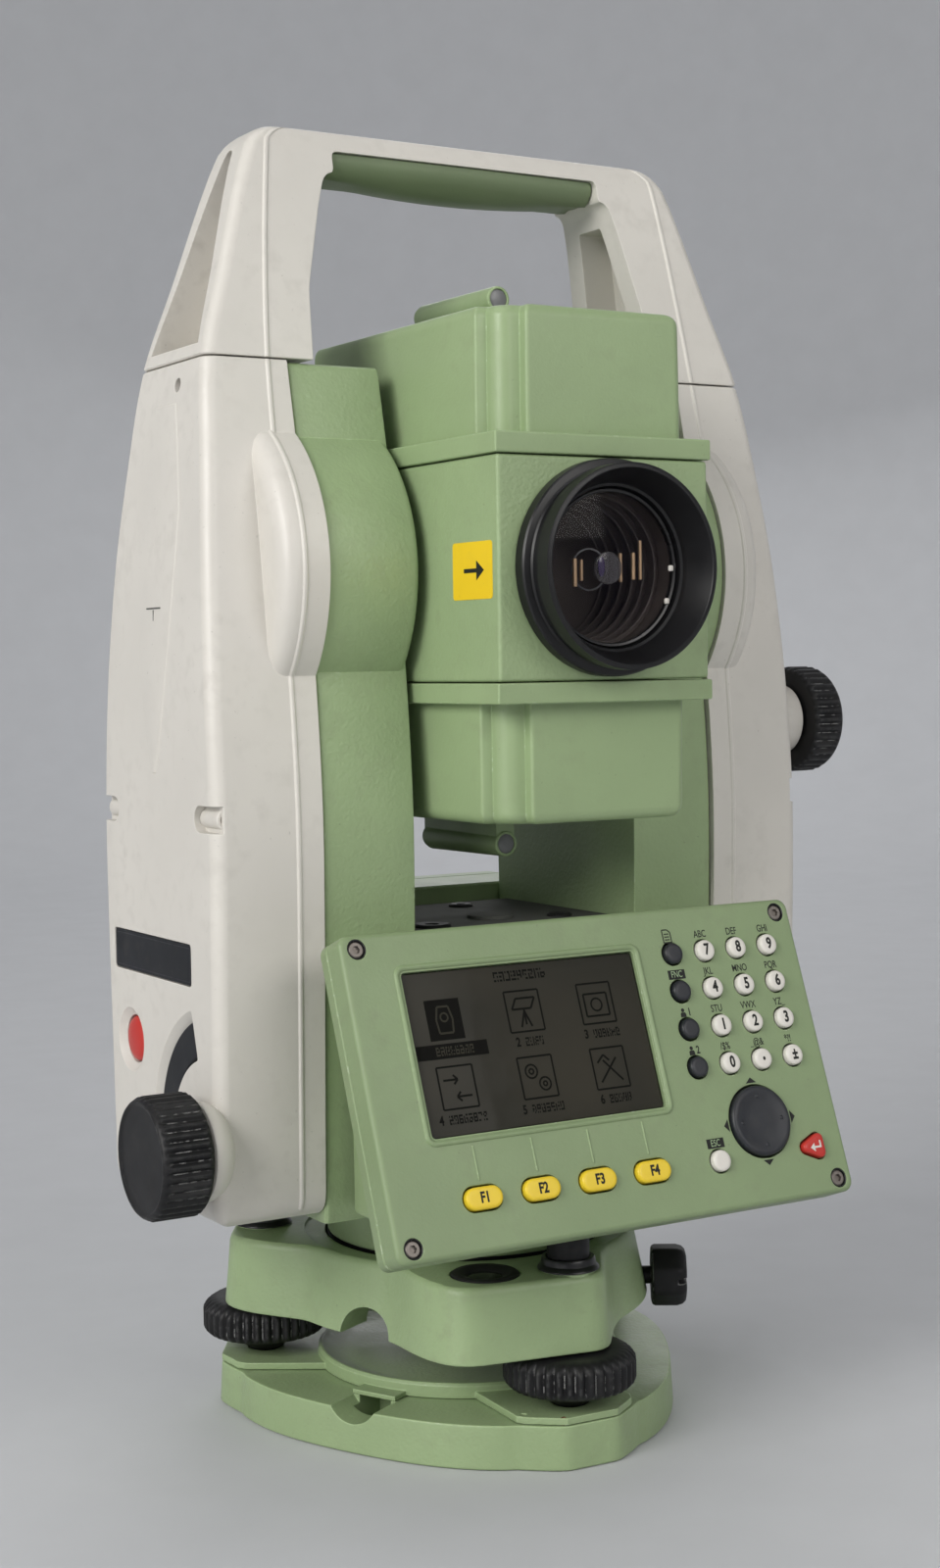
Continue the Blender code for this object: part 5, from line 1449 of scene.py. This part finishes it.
def glyph(kind, u, v):
    """Small line drawings for the six menu boxes."""
    def ring(x, y, radius, count=14):
        return path([(u + x + a, v + y + b) for a, b in circle(radius, count)], 0.5, True)

    def line(*points):
        return path([(u + x, v + y) for x, y in points], 0.55)

    if kind == 0:
        return line((-2, -3.5), (-2.4, 0), (-1.6, 3.4), (1.6, 3.4), (2.4, 0), (2, -3.5),
                    (-2, -3.5)) + ring(0, 0.6, 1.1)
    if kind == 1:
        return (line((-3.6, 0.6), (-2, 3.4), (3.8, 3.4), (2.2, 0.6), (-3.6, 0.6)) + line((0, 0),
                                                                                         (-1.6, -4.2))
                + line((0, 0), (1.6, -4.2)) + line((0, 0.4), (0, -3.6)))
    if kind == 2:
        return line((-3.6, 2.6), (3.6, 2.6), (3.6, -3.4), (-3.6, -3.4), (-3.6, 2.6)) + ring(0, -0.4, 1.7)
    if kind == 3:
        return (line((-3.8, 2), (0.4, 2), (-0.8, 3.2)) + line((0.4, 2), (-0.8, 0.8))
                + line((3.8, -2.4), (-0.6, -2.4), (0.6, -1.2)) + line((-0.6, -2.4), (0.6, -3.6)))
    if kind == 4:
        return ring(-1.6, 1.6, 1.8) + ring(-1.6, 1.6, 0.7, 10) + ring(1.9, -1.9, 1.7) + ring(1.9, -1.9, 0.6,
                                                                                             10)
    return line((-3.4, -3.6), (2.4, 2.6)) + line((-3.6, 1.6), (-1.4, 3.6), (0.2, 2.0)) + line((3.4, -3.6),
                                                                                              (-1.8, 2.2))


def keyboard_neck():
    """Housing that carries the keyboard panel on the front of the alidade."""
    top = BOARD @ Vector((0, 35.0, -PANEL_T - GAP))
    low = BOARD @ Vector((0, -37.0, -PANEL_T - GAP))
    back = -38.5
    outline = soften([(top.y, top.z), (low.y, low.z), (back, FRAME_LOW + 3), (back, top.z + 1)], 1.5, 4,
                     closed=True)
    neck = round_edges(side_plate("neck_skin", 1, outline, -57, 57), 1.2, 3, 60)
    piece(neck, "shaded_panel_plastic", "alidade", "green_plastic", "keyboard_neck")


# ---------------------------------------------------------------- telescope

def telescope_block():
    block = round_edges(box("telescope_block", (-BLOCK_X, BLOCK_FRONT, TILT_Z - BLOCK_LOW),
                            (BLOCK_X, BLOCK_REAR, TILT_Z + BLOCK_HALF)), 0.9)
    place = at((0, 0, TILT_Z), "Y")
    tube = turned("rear_tube", [(0, 61), (15.6, 61), (16.5, 60.7), (17, 60), (17, 46), (17.6, 45.2),
                                (17.6, 40), (0, 40)],
                  place, 96)
    trunnions = [rod("trunnion", TRUNNION_R, 30, 52, at((0, 0, TILT_Z), axis), 64) for axis in ("X", "-X")]
    join(block, tube, *trunnions)
    cut(block, rod("barrel_bore", 24.4, 32, 90, at((0, 0, TILT_Z - OBJECTIVE_DROP), "-Y"), 96),
        rod("light_path", 15.0, -35, 38, place, 64), rod("eyepiece_bore", 10.4, 30, 70, place, 48))
    piece(block, "green", "telescope", "green", "telescope_housing", sharp=30)


def side_sticker():
    """A plain yellow sticker with an arrow, in the place of a printed label."""
    label = side_panel("side_label", -1, (-74.2, -54.6, 230.4, 245.2), 1.0, BLOCK_X - 0.05, BLOCK_X + 0.12,
                       count=5)
    piece(label, "sticker", "telescope", "green_plastic")
    place = SIDE_FRAME @ Matrix.Translation((0, 0, -BLOCK_X - 0.14)) @ Matrix.Rotation(math.pi, 4, "Y")
    marks = [stroke((60.2, 237.8), (67.0, 237.8), 1.1), [(66.4, 240.4), (70.2, 237.8), (66.4, 235.2)]]
    piece(flat("side_label_arrow", marks, 0.0, place), "ink", "telescope", "green_plastic")


def cap_corner(inset):
    """Outline of a cap's notched front corner, drawn at +X: two steps with a round post between them."""
    points = soften([(30.0, -40.0), (30.0, -62.4), (26.9, -62.9)], 0.8, 4)[1:]
    points += arc(22.2, -63.9, 4.7, 8, -98, 11)
    points += soften([(20.6, -68.9), (20.6, -72.0), (0.0, -72.0)], 1.0, 5)[:-1]
    return [(x - inset, y + inset) for x, y in points]


def cap_outline(inset):
    x, y = CAP_X - inset, CAP_FRONT + inset
    back = [(CAP_X - 10.4 - inset, CAP_REAR - inset), (CAP_X - 9.0 - inset, CAP_REAR - 0.9 - inset),
            (CAP_X - 1 - inset, CAP_REAR - 12.6), (x, CAP_REAR - 14.0)]
    plain = back + [(x - 0.4, -20.0)] + arc(x - 3.8, y + 2.6, 2.6, 0, -90, 6)
    notched = back + cap_corner(inset)
    return plain + [(-px, py) for px, py in notched[::-1]]


def telescope_cover(name, side):
    """Cap above (side +1) or below (side -1) the middle block, with its band and sight."""
    edge = BLOCK_HALF if side > 0 else BLOCK_LOW
    levels = [(edge + BAND - 1, 0.0), (50.0, 0.1), (CAP_HALF - 3.2, 0.25), (CAP_HALF - 2.0, 0.45),
              (CAP_HALF - 1.1, 0.9), (CAP_HALF - 0.45, 1.5), (CAP_HALF - 0.1, 2.2), (CAP_HALF, 3.0)]
    rings = [[(x, y, TILT_Z + side * away) for x, y in cap_outline(inset)] for away, inset in levels]
    cap = skin(name + "_shell", rings)
    low, high = sorted((TILT_Z + side * (edge + GAP), TILT_Z + side * (edge + BAND)))
    band = round_edges(box("band", (-33.7, BLOCK_FRONT - 0.6, low), (33.7, BLOCK_REAR, high)), 0.5)
    centre = TILT_Z + side * SIGHT_OFF
    sight = turned("sight", [(0, 26), (SIGHT_R - 0.1, 26), (SIGHT_R + 0.2, 25.8), (SIGHT_R + 0.3, 25.3),
                             (SIGHT_R + 0.6, -14), (SIGHT_R + 0.2, -15.4), (SIGHT_R - 1.4, -16), (0, -16)],
                   at((0, 0, centre), "-Y"), 64)
    low, high = sorted((TILT_Z + side * (CAP_HALF - 2), centre))
    foot = box("sight_foot", (-2.9, -25.4, low), (2.9, 15, high))
    bore = rod("sight_bore", SIGHT_R - 0.5, 25.2, 30, at((0, 0, centre), "-Y"), 64)
    piece(cut(join(cap, band, foot, sight), bore), "green_plastic", "telescope", "green_plastic", name,
          sharp=26)
    lens = [(0, 25.9), (1.8, 25.8), (SIGHT_R - 0.6, 25.6), (SIGHT_R - 0.6, 24.4), (0, 24.4)]
    piece(turned(name + "_sight_lens", lens, at((0, 0, centre), "-Y"), 48), "sight", "telescope", "black")


OBJECTIVE_Z = TILT_Z - OBJECTIVE_DROP
LENS_AXIS = at((0, -LENS_FORWARD, OBJECTIVE_Z), "-Y")


def objective_hood():
    front = OBJECTIVE_FRONT
    profile = [(24.9, front - 0.15), (25.1, front), (25.7, front), (OBJECTIVE_R, front - 0.35),
               (OBJECTIVE_R, 84.9), (25.75, 84.5), (25.7, 81.9), (26.1, 81.4), (27.7, 81.0), (28.1, 80.5),
               (28.1, 77.4), (24.0, 77.4), (24.0, 36.0), (20.4, 36.0), (20.4, 78.0), (20.9, 78.3),
               (21.0, 80.6), (21.7, 81.0), (22.0, 82.6)]
    hood = turned("objective_hood", profile, at((0, 0, OBJECTIVE_Z), "-Y"), 160, closed=True)
    piece(hood, "barrel", "telescope", "barrel", "objective_barrel", sharp=35)


def objective_tube():
    """The tube behind the lens, its brown-grey paled as painted light so it reads as lit, with the rings
    that stop stray light.
    """
    place = LENS_AXIS
    tube = [(20.38, 71.6), (20.25, 71.6), (20.25, 40.4), (20.38, 40.4)]
    piece(turned("inner_tube", tube, place, 128, closed=True), "tube", "telescope", "barrel", sharp=35)
    end = [(0, 41.0), (20.0, 41.0), (20.0, 40.4), (0, 40.4)]
    piece(turned("tube_end", end, place, 96), "tube", "telescope", "barrel", sharp=35)
    rings = []
    for depth in (66.0, 61.2, 56.4, 51.6, 46.8, 42.6):
        bore = 18.9 - (66.0 - depth) * 0.05
        profile = [(20.15, depth), (bore + 0.3, depth), (bore, depth - 0.25), (bore + 0.3, depth - 0.5),
                   (20.15, depth - 0.5)]
        rings.append(turned("baffle", profile, place, 128, closed=True))
    piece(gather("baffles", rings), "tube", "telescope", "barrel", sharp=20)


def objective_glass():
    """The front lens in its seat, with the small prism of the distance meter in its middle."""
    place = LENS_AXIS
    seat = [(20.3, 73.6), (19.6, 73.4), (19.4, 72.6), (19.6, 71.8), (20.3, 71.7)]
    piece(turned("lens_seat", seat, place, 128, closed=True), "black_gloss", "telescope", "barrel",
          sharp=50)
    edge, bow, middle = 20.3, 2.2, 71.2
    steps = [i / 10 for i in range(11)]
    glass = [(edge * t, middle + 1.5 + bow * (1 - t * t)) for t in steps]
    glass += [(edge * t, middle + bow * (1 - t * t)) for t in steps[::-1]]
    piece(turned("objective_glass", glass, place, 96), "lens", "telescope", "lens", "objective_lens",
          sharp=60)
    disc = [(0, 72.4), (3.6, 72.3), (4.2, 72.0), (4.2, 71.2), (0, 71.2)]
    piece(turned("central_prism", disc, place, 64), "prism", "telescope", "lens")
    ring = [(5.2, 63.2), (5.6, 63.2), (5.6, 62.6), (5.2, 62.6)]
    piece(turned("prism_ring", ring, place, 64, closed=True), "sight", "telescope", "barrel")
    pupil = [(0, 72.9), (2.0, 72.85), (2.6, 72.7), (2.6, 72.5), (0, 72.5)]
    narrow = place @ Matrix.Translation((-2.6, 0.3, 0)) @ Matrix.Diagonal((0.4, 1, 1, 1))
    piece(turned("central_pupil", pupil, narrow, 48), "violet", "telescope", "lens")


def prism_mounts():
    """Gilt leaves behind the lens, and two pale chips at its edge that are painted glints."""
    spider = []
    for x, z, width, tall in ((-9.4, -1.2, 1.2, 7.4), (-7.4, -0.6, 0.9, 5.6), (4.9, 0.2, 0.9, 7.6),
                              (9.0, 0.6, 1.0, 7.2), (11.2, 2.2, 0.8, 10.4)):
        low = (x - width / 2, -70.8 - LENS_FORWARD, OBJECTIVE_Z + z - tall / 2)
        high = (x + width / 2, -69.8 - LENS_FORWARD, OBJECTIVE_Z + z + tall / 2)
        spider.append(round_edges(box("spider_leaf", low, high), 0.35))
    piece(gather("prism_spider", spider), "copper", "telescope", "barrel")
    # painted glints: two small pale chips near the lens rim stand for reflections of the lamps
    chips = []
    for x, z in ((18.6, 0.0), (17.2, -8.6)):
        low = (x - 0.7, -74.2 - LENS_FORWARD, OBJECTIVE_Z + z - 0.8)
        high = (x + 0.7, -73.2 - LENS_FORWARD, OBJECTIVE_Z + z + 0.8)
        chips.append(round_edges(box("glint_chip", low, high), 0.4))
    piece(gather("lens_glint_chips", chips), "key_white", "telescope", "barrel")


def focusing():
    place = at((0, 0, TILT_Z), "Y")
    ring = [(19.6, 58.6), (20.6, 58.4), (21.2, 57.8, 0.3), (21.6, 57.0, 0.8), (21.6, 47.6, 0.8),
            (21.2, 46.8, 0.3), (20.6, 46.2), (19.6, 46.0), (17.4, 46.0), (17.4, 58.6)]
    piece(turned("focus_grip", ring, place, closed=True, ribs=40), "black", "focus_ring", "black",
          "focus_ring", sharp=50)
    cell = [(0, 0.5), (11, 2.5), (12, 12), (14.5, 12), (14.5, -2), (0, -2)]
    piece(turned("focusing_cell", cell, at((0, -6, TILT_Z), "Y"), 64), "lens", "focusing_lens", "lens",
          "focusing_lens")


def eyepiece():
    place = at((0, 0, TILT_Z), "Y")
    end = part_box("eyepiece")[1].y / MM
    profile = [(0, end - 5.0), (6.3, end - 5.0), (6.9, end - 2.4), (8.2, end - 0.5), (9.0, end),
               (12.4, end), (13.2, end - 0.5), (13.5, end - 1.5), (13.5, end - 4.0), (12.9, end - 4.4),
               (12.9, end - 5.2), (13.5, end - 5.6, 0.6), (13.5, 76.0, 0.6), (13.0, 75.2), (12.2, 74.6),
               (12.0, 72.5), (12.0, 61.6), (10.0, 61.6), (10.0, 42), (0, 42)]
    piece(turned("eyepiece_grip", profile, place, ribs=32), "black", "eyepiece", "black", "eyepiece",
          sharp=50)
    glass = [(0, end - 3.6), (3.4, end - 3.9), (6.2, end - 4.7), (0, end - 4.8)]
    piece(turned("eyepiece_glass", glass, place, 48), "lens", "eyepiece", "lens")


def vertical_disc():
    disc = [(24.0, 47.5), (24.0, 45.0), (TRUNNION_R + GAP, 45.0), (TRUNNION_R + GAP, 47.5)]
    piece(turned("vertical_disc", disc, at((0, 0, TILT_Z), "X"), 96, closed=True), "circle", "telescope",
          "circle_glass", "vertical_circle")


# ---------------------------------------------------------------- stage

def stage_floor():
    """A pale round floor that rises far away into a backdrop."""
    profile = [(0, -0.2), (900, -0.2), (1500, -0.2)]
    profile += [(1500 + 700 * math.sin(math.radians(a)), 700 - 700 * math.cos(math.radians(a)) - 0.2)
                for a in range(10, 91, 10)]
    profile.append((2200, 4200))
    floor = turned("stage_floor", profile, steps=96)
    floor.data.materials.clear()
    floor.data.materials.append(surface("stage_paint", (0.56, 0.57, 0.59), 0.75, grain=8.0, depth=0.05,
                                        bevel=0.0, mottle=0.015))
    floor.data.shade_smooth()


def area_light(name, place, target, size, power, colour=(1, 1, 1)):
    light = bpy.data.lights.new(name, "AREA")
    light.shape = "RECTANGLE"
    light.size, light.size_y = size
    light.energy = power
    light.color = colour
    lamp = linked(name, light)
    lamp.location = place
    lamp.rotation_mode = "QUATERNION"
    lamp.rotation_quaternion = (Vector(target) - Vector(place)).to_track_quat("-Z", "Y")


def studio():
    middle = (0, 0, 0.18)
    area_light("key_light", (-1.95, -0.78, 0.85), middle, (1.3, 1.5), 57.0, (1.0, 0.985, 0.96))
    area_light("front_fill", (0.25, -1.15, 0.72), (0, 0, 0.26), (0.8, 0.5), 4.6, (1.0, 0.975, 0.94))
    area_light("top_light", (-0.1, 0.2, 1.9), middle, (1.3, 1.3), 4.5)
    area_light("rear_light", (1.1, 1.5, 1.1), middle, (1.0, 1.0), 6.0)
    world = bpy.data.worlds.new("soft_room")
    world.use_nodes = True
    world.node_tree.nodes["Background"].inputs["Color"].default_value = (0.70, 0.71, 0.74, 1)
    world.node_tree.nodes["Background"].inputs["Strength"].default_value = 0.27
    bpy.context.scene.world = world
    bpy.context.scene.view_settings.view_transform = "Standard"


CAMERA_PLACE = (-0.3324, -0.5611, 0.2146)
CAMERA_TURN = (30.94, 3.12,
               -0.87)    # degrees to the left of the keyboard, down, and about the line of sight
CAMERA_LENS = 51.675


def camera():
    """The photograph's viewpoint."""
    azimuth, pitch, roll = [math.radians(angle) for angle in CAMERA_TURN]
    level = math.cos(pitch)
    ahead = Vector((math.sin(azimuth) * level, math.cos(azimuth) * level, -math.sin(pitch)))
    right = Vector((math.cos(azimuth), -math.sin(azimuth), 0))
    up = right.cross(ahead)
    turned_right = right * math.cos(roll) + up * math.sin(roll)
    turned_up = up * math.cos(roll) - right * math.sin(roll)
    data = bpy.data.cameras.new("camera")
    data.lens = CAMERA_LENS
    data.sensor_width = 36.0
    data.clip_start = 0.01
    eye = linked("camera", data)
    axes = Matrix((turned_right, turned_up, -ahead)).transposed()
    eye.matrix_world = Matrix.Translation(CAMERA_PLACE) @ axes.to_4x4()
    bpy.context.scene.camera = eye


base_casting()
spring_dish()
tribrach_casting()
post_collars()
round_level()
foot_screws()
lock_grip()
lock_and_flange()
standards()
left_cover()
name_strip()
right_cover()
battery_and_lid()
drive_knob("horizontal_drive_knob", H_KNOB, "-X", H_KNOB_BACK)
drive_knob("vertical_drive_knob", V_KNOB, "X", V_KNOB_BACK)
side_keys()
handle()
grip()
deck()
rear_case()
panel_casting()
window_frame()
panel_screws()
keys()
key_marks()
panel_letters()
panel_figures()
display()
keyboard_neck()
telescope_block()
side_sticker()
telescope_cover("telescope_top_cover", 1)
telescope_cover("telescope_bottom_cover", -1)
objective_hood()
objective_tube()
objective_glass()
prism_mounts()
focusing()
eyepiece()
vertical_disc()
stage_floor()
studio()
camera()
